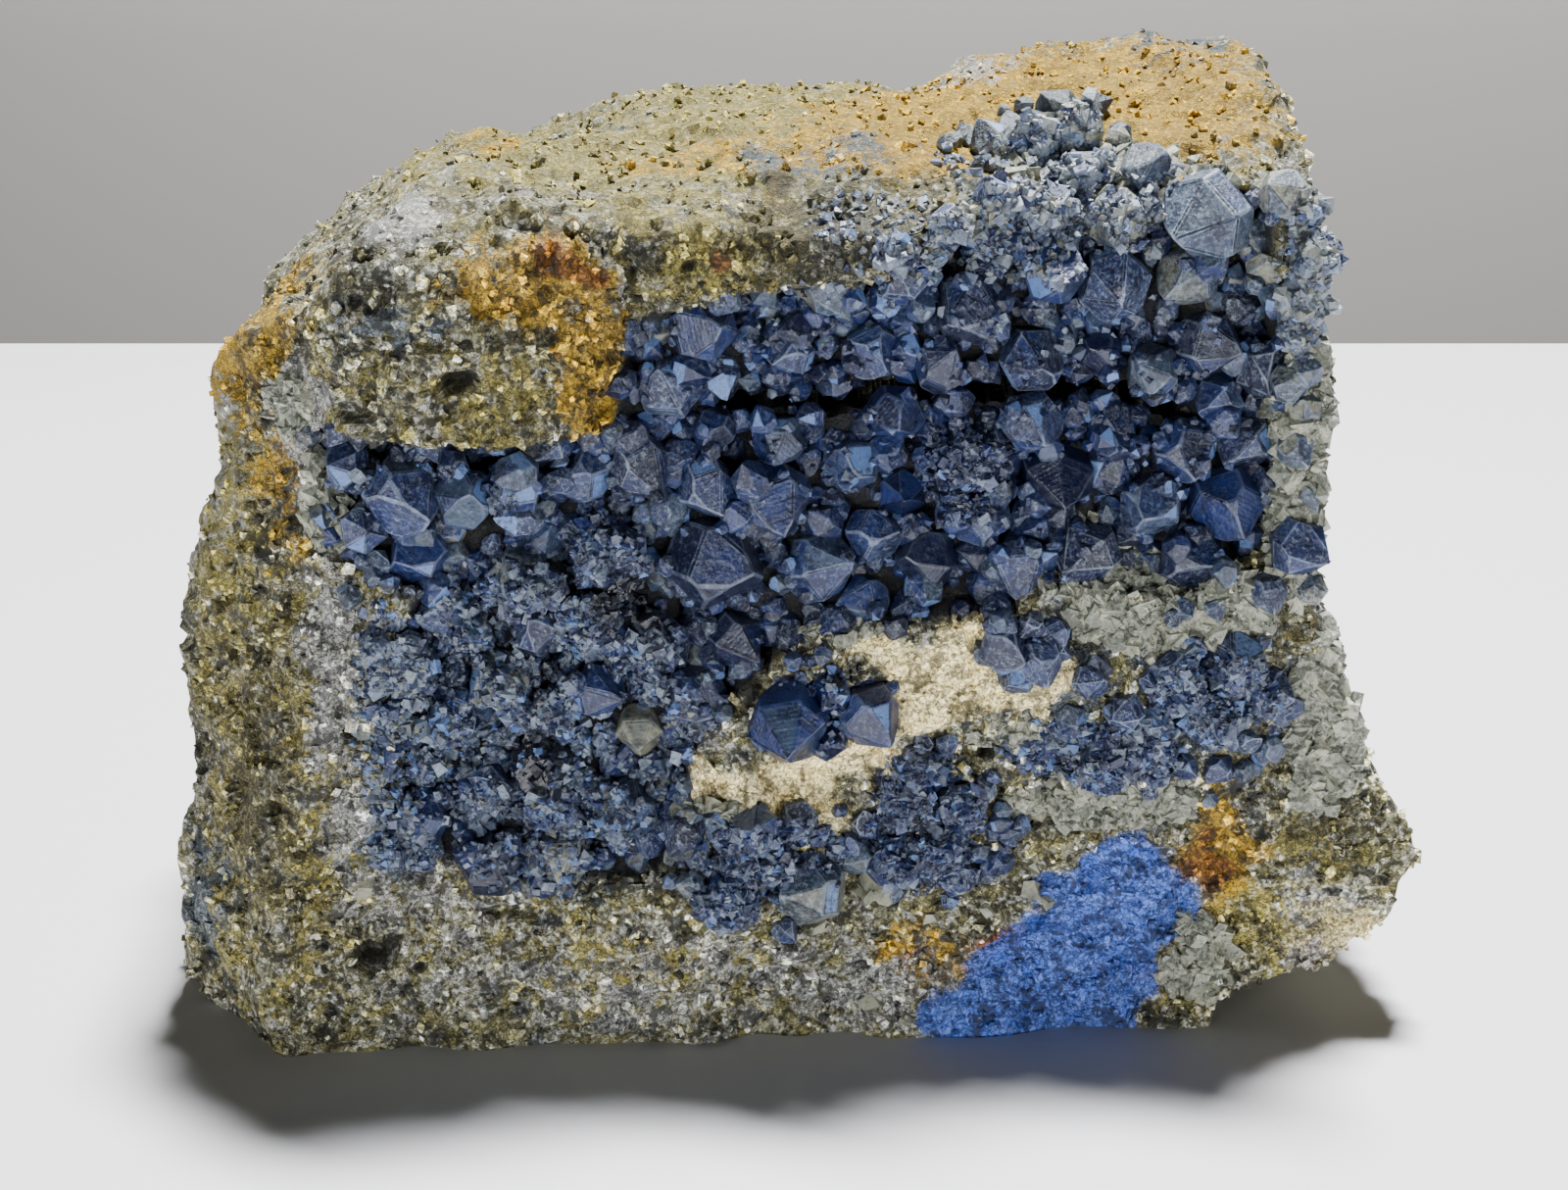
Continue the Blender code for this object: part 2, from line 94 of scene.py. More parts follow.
def lattice_noise(points: np.ndarray, cell: float, seed: int) -> np.ndarray:
    """Smooth random values: one at each corner of a cubic lattice, blended by a soft step.

    Args:
        points: places in space, one row each.
        cell: edge of the lattice's cubes.
        seed: picks one of many lattices.

    Returns:
        A value from -1 to 1 for each point.
    """
    scaled = points / cell
    base = np.floor(scaled).astype(np.int64)
    blend = soft_step(scaled - base)
    total = np.zeros(len(points))
    for corner in itertools.product((0, 1), repeat=3):
        key = base + np.array(corner)
        mixed = (key[:, 0] * 73856093) ^ (key[:, 1] * 19349663) ^ (key[:, 2] * 83492791)
        mixed = (mixed ^ (seed * 668265263)) & 0xFFFFFFFF
        mixed = ((mixed ^ (mixed >> 15)) * 739982445) & 0xFFFFFFFF
        mixed = ((mixed ^ (mixed >> 12)) * 695872825) & 0xFFFFFFFF
        value = (mixed >> 8) / float(0xFFFFFF) * 2.0 - 1.0
        total += value * np.prod(np.where(np.array(corner), blend, 1.0 - blend), axis=1)
    return total


def inside_distance(points: np.ndarray, outline: np.ndarray) -> np.ndarray:
    """Distance to a closed outline's nearest edge, positive inside it and negative outside.

    Args:
        points: places as across and up, one row each.
        outline: the outline's corners in order.

    Returns:
        A signed distance for each point. Inside or outside is told by counting the edges
        that a level line from the point crosses.
    """
    nearest = np.full(len(points), np.inf)
    crossings = np.zeros(len(points), dtype=bool)
    for start, end in zip(outline, np.roll(outline, -1, axis=0)):
        run = end - start
        share = np.clip(((points - start) @ run) / (run @ run), 0.0, 1.0)
        foot = start + share[:, None] * run
        nearest = np.minimum(nearest, np.linalg.norm(points - foot, axis=1))
        spans = (start[1] > points[:, 1]) != (end[1] > points[:, 1])
        rise = run[1] if abs(run[1]) > 1e-12 else 1e-12
        crossings ^= spans & (points[:, 0] < start[0] + (points[:, 1] - start[1]) * run[0] / rise)
    return np.where(crossings, nearest, -nearest)


@dataclass(frozen=True)
class Waves:
    """A family of sine waves that run in random directions."""

    height: float
    length: float
    seed: int
    count: int = 14

    def push(self, points: np.ndarray) -> np.ndarray:
        """Return the sum of the waves at each point, as a push along X, Y and Z."""
        random = np.random.default_rng(self.seed)
        push = np.zeros_like(points)
        for axis in range(3):
            ways = random.normal(size=(self.count, 3))
            ways /= np.linalg.norm(ways, axis=1)[:, None]
            lengths = self.length * random.uniform(0.7, 1.6, self.count)
            phases = random.uniform(0.0, 2.0 * math.pi, self.count)
            turns = points @ (2.0 * math.pi * ways / lengths[:, None]).T + phases
            push[:, axis] = np.sin(turns).sum(axis=1)
        return push * self.height * math.sqrt(2.0 / self.count)


@dataclass(frozen=True)
class Break:
    """A flat break that takes an edge off the block: a point in mm and the way it faces."""

    point: tuple[float, float, float]
    facing: tuple[float, float, float]

    def press(self, points: np.ndarray, softness: float) -> np.ndarray:
        """Press the points beyond the break back on to it, with a soft edge."""
        facing = np.array(self.facing) / np.linalg.norm(self.facing)
        excess = (points - np.array(self.point) * MM) @ facing
        eased = np.logaddexp(0.0, excess / softness) * softness
        return points - eased[:, None] * facing


@dataclass(frozen=True)
class BlockForm:
    """The block's form, from the same driving sizes as its solid."""

    front_y: float = -18.5 * MM
    front_skew: float = 0.055
    back_y: float = 22.0 * MM
    top_z: float = 62.9 * MM
    rise_right: float = 0.085
    rise_back: float = 0.05
    twist: float = 2.2
    left_edge: Places = ((0, -44.4), (6, -44.6), (20, -43.0), (34, -41.6), (51, -39.0), (68, -37.0))
    right_edge: Places = ((0, 33.0), (4, 38.4), (8, 42.6), (13, 45.2), (17, 44.5), (24, 40.2),
                          (30, 38.3), (45, 36.8), (56, 36.6), (68, 35.6))
    breaks: tuple[Break, ...] = (
        Break((-36.2, -20.5, 2.0), (-0.685, -0.729, 0.08)),
        Break((-33.4, 0.0, 54.2), (-0.66, 0.0, 0.75)),
        Break((35.0, 0.0, 65.4), (0.74, -0.12, 0.66)),
        Break((0.0, -15.8, 60.9), (0.05, -0.50, 0.86)),
        Break((0.0, 20.0, 64.4), (-0.05, 0.62, 0.78)),
        Break((38.9, -16.4, 5.2), (0.60, -0.30, -0.74)),
        Break((-41.5, 18.8, 20.0), (-0.72, 0.69, 0.10)),
        Break((37.0, 19.0, 30.0), (0.75, 0.66, 0.05)),
        Break((-43.5, -12.2, 2.0), (-0.60, -0.30, -0.74)),
    )
    break_softness: float = 0.35 * MM
    lumps: tuple[Waves, ...] = (Waves(0.55 * MM, 19 * MM, 11), Waves(0.30 * MM, 7.5 * MM, 12))
    ledge_x: tuple[float, float] = (-33.5 * MM, -10.9 * MM)
    ledge_z: float = 44.3 * MM
    ledge_proud: float = 2.4 * MM
    edge_softness: float = 0.8 * MM

    def front_plane(self, x: np.ndarray) -> np.ndarray:
        """Return where the plain front face is, at a distance to the right."""
        return self.front_y + self.front_skew * x

    def ledge_push(self, x: np.ndarray, z: np.ndarray) -> np.ndarray:
        """Return how far the upper left ledge stands in front of the plain face."""
        left = soft_step((x - self.ledge_x[0]) / self.edge_softness)
        right = soft_step((self.ledge_x[1] - x) / self.edge_softness)
        return self.ledge_proud * left * right * soft_step((z - self.ledge_z) / self.edge_softness + 1)

    def surface(self, shares: np.ndarray) -> np.ndarray:
        """Turn shares of the block's width, depth and height into points of its surface.

        The left, right, front, back and top faces are joined by straight lines, the ledge is
        pushed out, the breaks press the edges in, and the waves roughen all but the base.

        Args:
            shares: rows of three numbers from 0 to 1, on the faces of a cube.

        Returns:
            The points in metres.
        """
        share_x, share_y, share_z = shares.T
        z = share_z * self.top_z
        left_rows, right_rows = np.array(self.left_edge) * MM, np.array(self.right_edge) * MM
        for _ in range(2):
            left = np.interp(z, left_rows[:, 0], left_rows[:, 1])
            right = np.interp(z, right_rows[:, 0], right_rows[:, 1])
            x = left + (right - left) * share_x
            front = self.front_plane(x)
            y = front + (self.back_y - front) * share_y
            z = share_z * (self.top_z + self.rise_right * x + self.rise_back * y + self.twist * x * y)
        y = y - self.ledge_push(x, z) * (1.0 - share_y) ** 4
        points = np.stack((x, y, z), axis=1)
        for cut in self.breaks:
            points = cut.press(points, self.break_softness)
        points = points + sum(family.push(points) for family in self.lumps)
        points[:, 2] = np.where(share_z < 1e-6, 0.0, np.maximum(points[:, 2], 0.05 * MM))
        return points


@dataclass(frozen=True)
class Hollow:
    """The hollow with its flat floor, and the cleft that runs through it."""

    form: BlockForm
    rim: Places = HOLLOW_RIM
    cleft: Places = ((-5.0, 45.8), (-0.5, 46.5), (3.8, 45.9), (8.0, 47.0), (14.8, 46.7),
                     (21.5, 46.8), (27.6, 45.2), (27.8, 46.0), (21.5, 48.0), (14.8, 47.9),
                     (8.0, 48.2), (3.8, 47.1), (-0.5, 47.4), (-4.8, 46.6))
    depth_low: float = 1.4 * MM
    deepening: float = 0.05
    low_z: float = 12 * MM
    wall_width: float = 1.2 * MM
    cleft_depth: float = 7 * MM

    def floor(self, x: np.ndarray, z: np.ndarray) -> np.ndarray:
        """Return the depth at which the hollow's floor lies."""
        return self.form.front_plane(x) + self.depth_low + self.deepening * (z - self.low_z)

    def inside(self, x: np.ndarray, z: np.ndarray) -> np.ndarray:
        """Return the distance inside the hollow's rim, negative outside it."""
        return inside_distance(np.stack((x, z), axis=1), np.array(self.rim) * MM)

    def in_cleft(self, x: np.ndarray, z: np.ndarray) -> np.ndarray:
        """Return the distance inside the cleft, negative outside it."""
        return inside_distance(np.stack((x, z), axis=1), np.array(self.cleft) * MM)

    def sink(self, points: np.ndarray, shares: np.ndarray) -> np.ndarray:
        """Press the front points inside the rim to the floor, and those of the cleft deeper."""
        x, y, z = points.T
        near_front = soft_step((0.16 - shares[:, 1]) / 0.05)
        wall = soft_step(self.inside(x, z) / self.wall_width + 0.5)
        gap = soft_step(self.in_cleft(x, z) / (0.5 * MM) + 0.5)
        depth = np.maximum(self.floor(x, z) - y, 0.0) * wall + self.cleft_depth * gap
        sunk = points.copy()
        sunk[:, 1] = y + depth * near_front
        return sunk


class Stain(Enum):
    """What colours a patch of the rock. Each value names the attribute that carries it."""

    OCHRE = "ochre"
    RUST = "rust"
    YELLOW = "yellow"
    POWDER = "powder"
    CRUST = "crust"
    CREAM = "cream"
    COOL = "cool"
    WHITE = "white"
    # dark patches of the rock, and the painted shade in the pits
    DARK = "dark"


PITS: Places = ((-29.3, 7.1, 1.7), (-28.2, 7.9, 1.1), (-21.6, 49.6, 1.2), (-20.7, 49.9, 0.8),
                (-27.6, 55.2, 0.7), (-26.6, 54.6, 0.6), (-26.2, 5.9, 0.6), (-30.2, 24.0, 0.6),
                (18.6, 8.4, 0.6), (-6.2, 56.6, 0.6), (5.6, 5.2, 0.5), (14.2, 22.0, 0.8))


@dataclass(frozen=True)
class Patch:
    """A soft patch of one stain: its middle and reach in mm, and how strong it is."""

    stain: Stain
    middle: tuple[float, float, float]
    reach: tuple[float, float, float]
    strength: float = 1.0

    def cover(self, points: np.ndarray) -> np.ndarray:
        """Return the patch's cover, from its strength in the middle to 0 past its reach."""
        away = (points / MM - np.array(self.middle)) / np.array(self.reach)
        return self.strength * soft_step(1.25 - 0.85 * np.linalg.norm(away, axis=1))


@dataclass(frozen=True)
class StainMap:
    """All the patches, with the powder patch's own outline."""

    patches: tuple[Patch, ...] = (
        Patch(Stain.OCHRE, (18.0, -2.0, 66.0), (17.0, 22.0, 6.0), 1.5),
        Patch(Stain.OCHRE, (3.0, -8.0, 63.5), (9.0, 9.0, 4.0), 0.6),
        Patch(Stain.OCHRE, (-16.4, -20.0, 56.0), (5.4, 6.0, 3.4), 1.1),
        Patch(Stain.OCHRE, (27.0, 4.0, 67.0), (11.0, 16.0, 6.0), 0.8),
        Patch(Stain.YELLOW, (-20.0, -20.0, 48.6), (9.0, 6.0, 3.6), 0.6),
        Patch(Stain.YELLOW, (-22.0, -20.0, 46.0), (10.0, 6.0, 1.6), 0.55),
        Patch(Stain.WHITE, (-25.8, -20.0, 60.4), (4.0, 6.0, 2.4), 0.85),
        Patch(Stain.YELLOW, (34.0, -16.0, 8.6), (4.6, 6.0, 3.6), 0.8),
        Patch(Stain.WHITE, (39.5, -14.5, 8.4), (4.0, 8.0, 4.2), 0.6),
        Patch(Stain.CREAM, (39.8, -14.5, 7.6), (4.4, 8.0, 3.4), 0.6),
        Patch(Stain.WHITE, (-8.0, -19.0, 5.0), (14.0, 6.0, 5.0), 0.6),
        Patch(Stain.YELLOW, (-5.0, -18.0, 57.5), (6.0, 6.0, 4.0), 0.8),
        Patch(Stain.YELLOW, (-33.5, -18.0, 20.0), (3.6, 8.0, 22.0), 0.55),
        Patch(Stain.OCHRE, (-12.3, -20.0, 49.6), (2.4, 6.0, 6.0), 1.2),
        Patch(Stain.OCHRE, (-34.5, -19.0, 40.5), (2.4, 6.0, 5.0), 0.85),
        Patch(Stain.OCHRE, (-34.6, -15.0, 52.0), (3.0, 9.0, 5.0), 0.5),
        Patch(Stain.OCHRE, (9.6, -18.0, 6.6), (4.2, 6.0, 2.3), 0.9),
        Patch(Stain.OCHRE, (31.0, -16.8, 14.0), (3.0, 6.0, 4.6), 0.9),
        Patch(Stain.OCHRE, (25.0, -17.0, 3.6), (4.0, 6.0, 2.4), 0.35),
        Patch(Stain.RUST, (17.9, -1.0, 65.5), (4.0, 6.0, 5.0), 0.4),
        Patch(Stain.RUST, (-13.6, -20.0, 56.9), (2.4, 6.0, 1.7), 1.0),
        Patch(Stain.RUST, (-12.4, -20.0, 48.4), (1.0, 6.0, 2.4), 0.4),
        Patch(Stain.RUST, (-3.5, -18.0, 56.7), (1.3, 6.0, 1.2), 1.0),
        Patch(Stain.RUST, (30.2, -16.8, 13.0), (1.6, 6.0, 3.0), 0.8),
        Patch(Stain.RUST, (15.0, -17.8, 6.8), (1.6, 6.0, 1.4), 0.9),
        Patch(Stain.RUST, (9.0, -18.0, 6.4), (2.0, 6.0, 1.2), 0.7),
        Patch(Stain.RUST, (39.5, -15.0, 6.5), (4.0, 6.0, 2.4), 0.5),
        Patch(Stain.YELLOW, (-9.7, -18.5, 59.6), (2.4, 6.0, 2.2), 0.8),
        Patch(Stain.YELLOW, (0.1, -18.0, 58.6), (2.0, 6.0, 2.6), 0.9),
        Patch(Stain.YELLOW, (-22.8, -19.0, 36.5), (2.4, 6.0, 2.0), 0.7),
        Patch(Stain.YELLOW, (37.7, -16.0, 14.0), (3.2, 6.0, 3.2), 0.9),
        Patch(Stain.YELLOW, (30.5, -15.0, 64.0), (4.0, 7.0, 3.4), 0.8),
        Patch(Stain.YELLOW, (-6.0, 2.0, 66.0), (40.0, 24.0, 8.0), 1.1),
        Patch(Stain.OCHRE, (-22.0, 4.0, 63.0), (5.0, 8.0, 4.0), 0.6),
        Patch(Stain.OCHRE, (-6.0, -6.0, 63.0), (6.0, 5.0, 4.0), 0.6),
        Patch(Stain.DARK, (8.0, -14.0, 62.0), (10.0, 2.4, 2.0), 0.5),
        Patch(Stain.COOL, (-12.0, 8.0, 64.0), (5.0, 6.0, 3.0), 0.6),
        Patch(Stain.YELLOW, (-38.5, -15.0, 26.0), (5.0, 9.0, 34.0), 0.6),
        Patch(Stain.YELLOW, (-12.0, -19.0, 7.0), (9.0, 6.0, 5.0), 0.35),
        Patch(Stain.YELLOW, (-36.0, -8.0, 54.0), (7.0, 22.0, 9.0), 0.6),
        Patch(Stain.COOL, (-14.0, -19.0, 3.5), (12.0, 6.0, 4.0), 0.4),
        Patch(Stain.COOL, (1.0, -18.0, 4.0), (9.0, 6.0, 3.4), 0.4),
        Patch(Stain.WHITE, (-24.0, -19.5, 9.0), (6.0, 6.0, 7.0), 0.5),
        Patch(Stain.WHITE, (6.0, -18.0, 4.0), (8.0, 6.0, 4.0), 0.65),
        Patch(Stain.CREAM, (32.3, -16.7, 1.2), (2.4, 6.0, 1.8), 0.6),
        Patch(Stain.COOL, (3.6, -9.0, 63.3), (7.0, 4.0, 3.0), 1.2),
        Patch(Stain.COOL, (-25.0, -20.0, 53.6), (4.4, 6.0, 2.6), 0.8),
        Patch(Stain.DARK, (-27.6, -20.0, 56.6), (3.8, 6.0, 4.0), 0.6),
        Patch(Stain.DARK, (-21.0, -18.0, 61.6), (7.0, 3.0, 1.4), 0.5),
        Patch(Stain.DARK, (-36.5, -17.0, 19.0), (4.0, 8.0, 12.0), 0.5),
        Patch(Stain.WHITE, (-41.0, -12.0, 42.0), (5.0, 9.0, 12.0), 0.4),
        Patch(Stain.COOL, (-17.0, -19.0, 26.0), (13.0, 6.0, 16.0), 0.7),
        Patch(Stain.COOL, (-27.0, -19.5, 15.5), (4.6, 6.0, 3.0), 0.9),
        Patch(Stain.COOL, (17.5, -15.5, 64.0), (6.0, 5.0, 3.0), 0.7),
        Patch(Stain.COOL, (24.0, -17.0, 26.0), (14.0, 6.0, 9.0), 0.6),
        Patch(Stain.COOL, (38.0, -12.0, 24.0), (5.0, 12.0, 10.0), 0.5),
        Patch(Stain.COOL, (29.5, 15.0, 66.5), (5.0, 9.0, 4.0), 0.6),
        Patch(Stain.COOL, (-42.0, -14.0, 9.0), (2.4, 6.0, 6.0), 0.8),
        Patch(Stain.WHITE, (-32.6, -19.0, 45.6), (2.2, 6.0, 5.6), 1.2),
        Patch(Stain.WHITE, (-30.6, -19.5, 16.5), (2.4, 6.0, 3.0), 0.8),
        Patch(Stain.WHITE, (-29.5, -19.5, 11.6), (2.0, 6.0, 2.6), 0.7),
        Patch(Stain.WHITE, (-31.5, -19.0, 60.0), (4.0, 6.0, 3.0), 0.6),
        Patch(Stain.WHITE, (23.3, -17.2, 19.1), (7.0, 6.0, 3.6), 0.6),
        Patch(Stain.WHITE, (-31.0, -19.5, 30.0), (2.6, 6.0, 12.0), 0.75),
        Patch(Stain.WHITE, (15.0, 17.0, 65.0), (4.0, 9.0, 3.0), 0.6),
        Patch(Stain.WHITE, (-27.0, -19.5, 3.5), (6.0, 6.0, 3.0), 0.4),
        Patch(Stain.DARK, (4.0, -17.5, 58.2), (8.5, 6.0, 3.6), 0.8),
        Patch(Stain.DARK, (35.0, -15.0, 57.0), (3.4, 6.0, 6.0), 0.9),
        Patch(Stain.RUST, (12.0, -3.0, 65.0), (9.0, 12.0, 5.0), 0.12),
        Patch(Stain.OCHRE, (-36.5, -12.0, 52.0), (5.0, 14.0, 8.0), 0.8),
        Patch(Stain.DARK, (-0.8, -14.0, 62.7), (1.8, 3.0, 1.6), 0.9),
        Patch(Stain.DARK, (38.4, -16.0, 16.5), (2.4, 6.0, 2.6), 0.6),
        Patch(Stain.DARK, (-43.0, -9.0, 34.0), (4.0, 8.0, 26.0), 0.35),
    )
    powder: Places = ((10.3, -1.0), (10.6, 4.1), (12.6, 6.0), (16.0, 7.9), (18.6, 10.4),
                      (20.4, 13.0), (23.7, 14.7), (25.6, 15.4), (27.4, 14.4), (28.6, 12.6),
                      (29.4, 10.4), (28.4, 7.2), (27.2, 5.0), (26.1, 3.2), (25.6, -1.0))
    cream: Places = ((-7.4, 22.6), (-4.0, 21.2), (-0.7, 21.6), (3.0, 22.6), (4.6, 24.2),
                     (7.6, 27.0), (4.0, 29.6), (6.2, 31.0), (9.2, 29.4), (11.0, 32.9),
                     (13.6, 33.4), (13.9, 29.0), (17.0, 28.9), (20.2, 28.4), (17.6, 25.6),
                     (11.4, 23.8), (7.0, 21.7), (4.3, 19.6), (3.5, 15.8), (1.4, 18.4),
                     (-2.8, 18.9), (-6.6, 19.2))
    hollow_rim: Places = HOLLOW_RIM
    wander: Waves = Waves(0.55 * MM, 4 * MM, 31)

    def wear(self, points: np.ndarray) -> np.ndarray:
        """Return how worn the rock is: the top most, the upper left side less, the rest not."""
        top = 0.5 * soft_step((points[:, 2] - 58 * MM) / (3 * MM))
        left = soft_step((-36 * MM - points[:, 0]) / (3 * MM))
        return np.maximum(top, 0.5 * left * soft_step((points[:, 2] - 26 * MM) / (14 * MM)))

    def masks(self, points: np.ndarray) -> dict[Stain, np.ndarray]:
        """Return each stain's cover at the points, with edges that wander a little."""
        moved = points + self.wander.push(points)
        covers = {stain: np.zeros(len(points)) for stain in Stain}
        for patch in self.patches:
            covers[patch.stain] = np.maximum(covers[patch.stain], patch.cover(moved))
        front = soft_step((-12 * MM - points[:, 1]) / (2 * MM))
        # the named pits get the dark stain: painted shade in the holes
        for x, z, radius in PITS:
            away = np.hypot(points[:, 0] - x * MM, (points[:, 2] - z * MM) * 1.25) / (radius * MM)
            covers[Stain.DARK] = np.maximum(covers[Stain.DARK], 1.5 * soft_step(2.0 - 2 * away) * front)
        for stain, outline in ((Stain.POWDER, self.powder), (Stain.CREAM, self.cream)):
            across = inside_distance(moved[:, (0, 2)], np.array(outline) * MM)
            covers[stain] = np.maximum(covers[stain], soft_step(across / (2.4 * MM) + 0.6) * front)
        across = inside_distance(points[:, (0, 2)], np.array(self.hollow_rim) * MM)
        covers[Stain.CRUST] = soft_step(across / (1.2 * MM) + 0.7) * front
        return covers


def make_mesh(name: str, vertices: np.ndarray, faces: list[list[int]],
              values: dict[str, np.ndarray] | None = None) -> bpy.types.Object:
    """Put points, faces and named values of the points into a new object at the origin."""
    mesh = bpy.data.meshes.new(name)
    mesh.from_pydata(vertices.tolist(), [], faces)
    for key, numbers in (values or {}).items():
        layer = mesh.attributes.new(key, "FLOAT", "POINT")
        layer.data.foreach_set("value", np.asarray(numbers, dtype=np.float32))
    mesh.update()
    item = bpy.data.objects.new(name, mesh)
    bpy.context.scene.collection.objects.link(item)
    return item


def point_normals(vertices: np.ndarray, quads: np.ndarray) -> np.ndarray:
    """Return each point's direction outwards, the mean of the faces round it."""
    a, b, c, d = (vertices[quads[:, i]] for i in range(4))
    across = np.cross(c - a, d - b)
    normals = np.zeros_like(vertices)
    for column in range(4):
        np.add.at(normals, quads[:, column], across)
    return normals / np.maximum(np.linalg.norm(normals, axis=1), 1e-12)[:, None]


@dataclass
class GridBox:
    """The surface of a cube as a grid, with shared points along its edges."""

    cells: tuple[int, int, int]
    depth_power: float = 1.35

    def build(self) -> tuple[np.ndarray, np.ndarray, list[int]]:
        """Lay out the grid.

        Returns:
            The points as shares from 0 to 1, the quads of all sides but the base, and the
            base's ring of points in order.
        """
        nx, ny, nz = self.cells
        steps = np.stack(np.meshgrid(np.arange(nx + 1), np.arange(ny + 1), np.arange(nz + 1),
                                     indexing="ij"), axis=-1)
        limit = np.array(self.cells)
        on_side = ((steps == 0) | (steps == limit)).any(axis=-1)
        inside_base = (steps[..., 2] == 0) & (steps[..., 0] > 0) & (steps[..., 0] < nx)
        inside_base &= (steps[..., 1] > 0) & (steps[..., 1] < ny)
        kept = on_side & ~inside_base
        index = np.full(kept.shape, -1)
        index[kept] = np.arange(kept.sum())
        shares = steps[kept] / limit
        shares[:, 1] = shares[:, 1] ** self.depth_power
        sides = ((index[:, 0, :], False), (index[:, ny, :], True), (index[0, :, :], True),
                 (index[nx, :, :], False), (index[:, :, nz], False))
        quads = [self.side_quads(grid, flipped) for grid, flipped in sides]
        ring = [*index[:nx, 0, 0], *index[nx, :ny, 0], *index[nx:0:-1, ny, 0], *index[0, ny:0:-1, 0]]
        return shares, np.concatenate(quads), [int(i) for i in reversed(ring)]

    @staticmethod
    def side_quads(grid: np.ndarray, flipped: bool) -> np.ndarray:
        """Return the quads of one side; flipped turns them to face the other way."""
        corners = (grid[:-1, :-1], grid[1:, :-1], grid[1:, 1:], grid[:-1, 1:])
        quads = np.stack([corner.ravel() for corner in corners], axis=1)
        return quads[:, ::-1] if flipped else quads


class Board:
    """A material's or a group's node tree, with short calls to add and join nodes."""

    def __init__(self, tree: bpy.types.NodeTree) -> None:
        """Start on a node tree."""
        self.tree = tree

    def add(self, kind: str, settings: dict | None = None, **inputs: object) -> bpy.types.Node:
        """Add a node, set its own settings, and set or join its inputs by name."""
        node = self.tree.nodes.new(kind)
        for key, value in (settings or {}).items():
            setattr(node, key, value)
        for key, value in inputs.items():
            self.put(node.inputs[key.replace("_", " ")], value)
        return node

    def put(self, socket: bpy.types.NodeSocket, value: object) -> None:
        """Join a socket to another one, or give it a value."""
        if isinstance(value, bpy.types.NodeSocket):
            self.tree.links.new(value, socket)
        else:
            socket.default_value = value

    def math(self, operation: str, *values: object, clamp: bool = False) -> bpy.types.NodeSocket:
        """Do one step of arithmetic."""
        node = self.add("ShaderNodeMath", {"operation": operation, "use_clamp": clamp})
        for socket, value in zip(node.inputs, values):
            self.put(socket, value)
        return node.outputs[0]

    def mix(self, share: object, first: object, second: object,
            blend: str = "MIX") -> bpy.types.NodeSocket:
        """Mix two colours."""
        node = self.add("ShaderNodeMix", {"data_type": "RGBA", "blend_type": blend})
        for socket, value in ((node.inputs[0], share), (node.inputs[6], first),
                              (node.inputs[7], second)):
            self.put(socket, value)
        return node.outputs[2]

    def noise(self, place: bpy.types.NodeSocket, size: float, detail: float = 3.0,
              rough: float = 0.55) -> bpy.types.NodeSocket:
        """Give smooth noise whose lumps have about a real size."""
        node = self.add("ShaderNodeTexNoise", Vector=place, Scale=1.0 / size, Detail=detail,
                        Roughness=rough)
        return node.outputs["Fac"]

    def ramp(self, value: object, low: float, high: float) -> bpy.types.NodeSocket:
        """Stretch the part of a value between two limits to 0 and 1."""
        node = self.add("ShaderNodeMapRange", {"clamp": True, "interpolation_type": "SMOOTHSTEP"})
        for key, number in (("Value", value), ("From Min", low), ("From Max", high)):
            self.put(node.inputs[key], number)
        return node.outputs[0]

    def attribute(self, name: str) -> bpy.types.NodeSocket:
        """Read a named value of the points."""
        return self.add("ShaderNodeAttribute", {"attribute_name": name}).outputs["Fac"]


def new_group(name: str, inputs: dict[str, float], outputs: dict[str, str]) -> bpy.types.NodeTree:
    """Start a shader node group with float inputs, a Vector input and named outputs."""
    group = bpy.data.node_groups.new(name, "ShaderNodeTree")
    group.interface.new_socket("Vector", in_out="INPUT", socket_type="NodeSocketVector")
    for key, value in inputs.items():
        socket = group.interface.new_socket(key, in_out="INPUT", socket_type="NodeSocketFloat")
        socket.default_value = value
    for key, kind in outputs.items():
        group.interface.new_socket(key, in_out="OUTPUT", socket_type=kind)
    return group


def stain_edge_group() -> bpy.types.NodeTree:
    """Make the group that breaks a stain's soft cover into grains along its edge."""
    group = new_group("stain edge", {"Cover": 0.0, "Swing": 0.0, "Raggedness": 0.5},
                      {"Mask": "NodeSocketFloat"})
    board = Board(group)
    given = board.add("NodeGroupInput")
    swing = board.math("MULTIPLY", given.outputs["Swing"], given.outputs["Raggedness"])
    total = board.math("ADD", given.outputs["Cover"], board.math("MULTIPLY", swing, 2.0))
    mask = board.math("MULTIPLY", board.ramp(total, 0.25, 0.75), board.ramp(given.outputs["Cover"],
                                                                             0.0, 0.15))
    result = board.add("NodeGroupOutput")
    board.put(result.inputs["Mask"], mask)
    return group


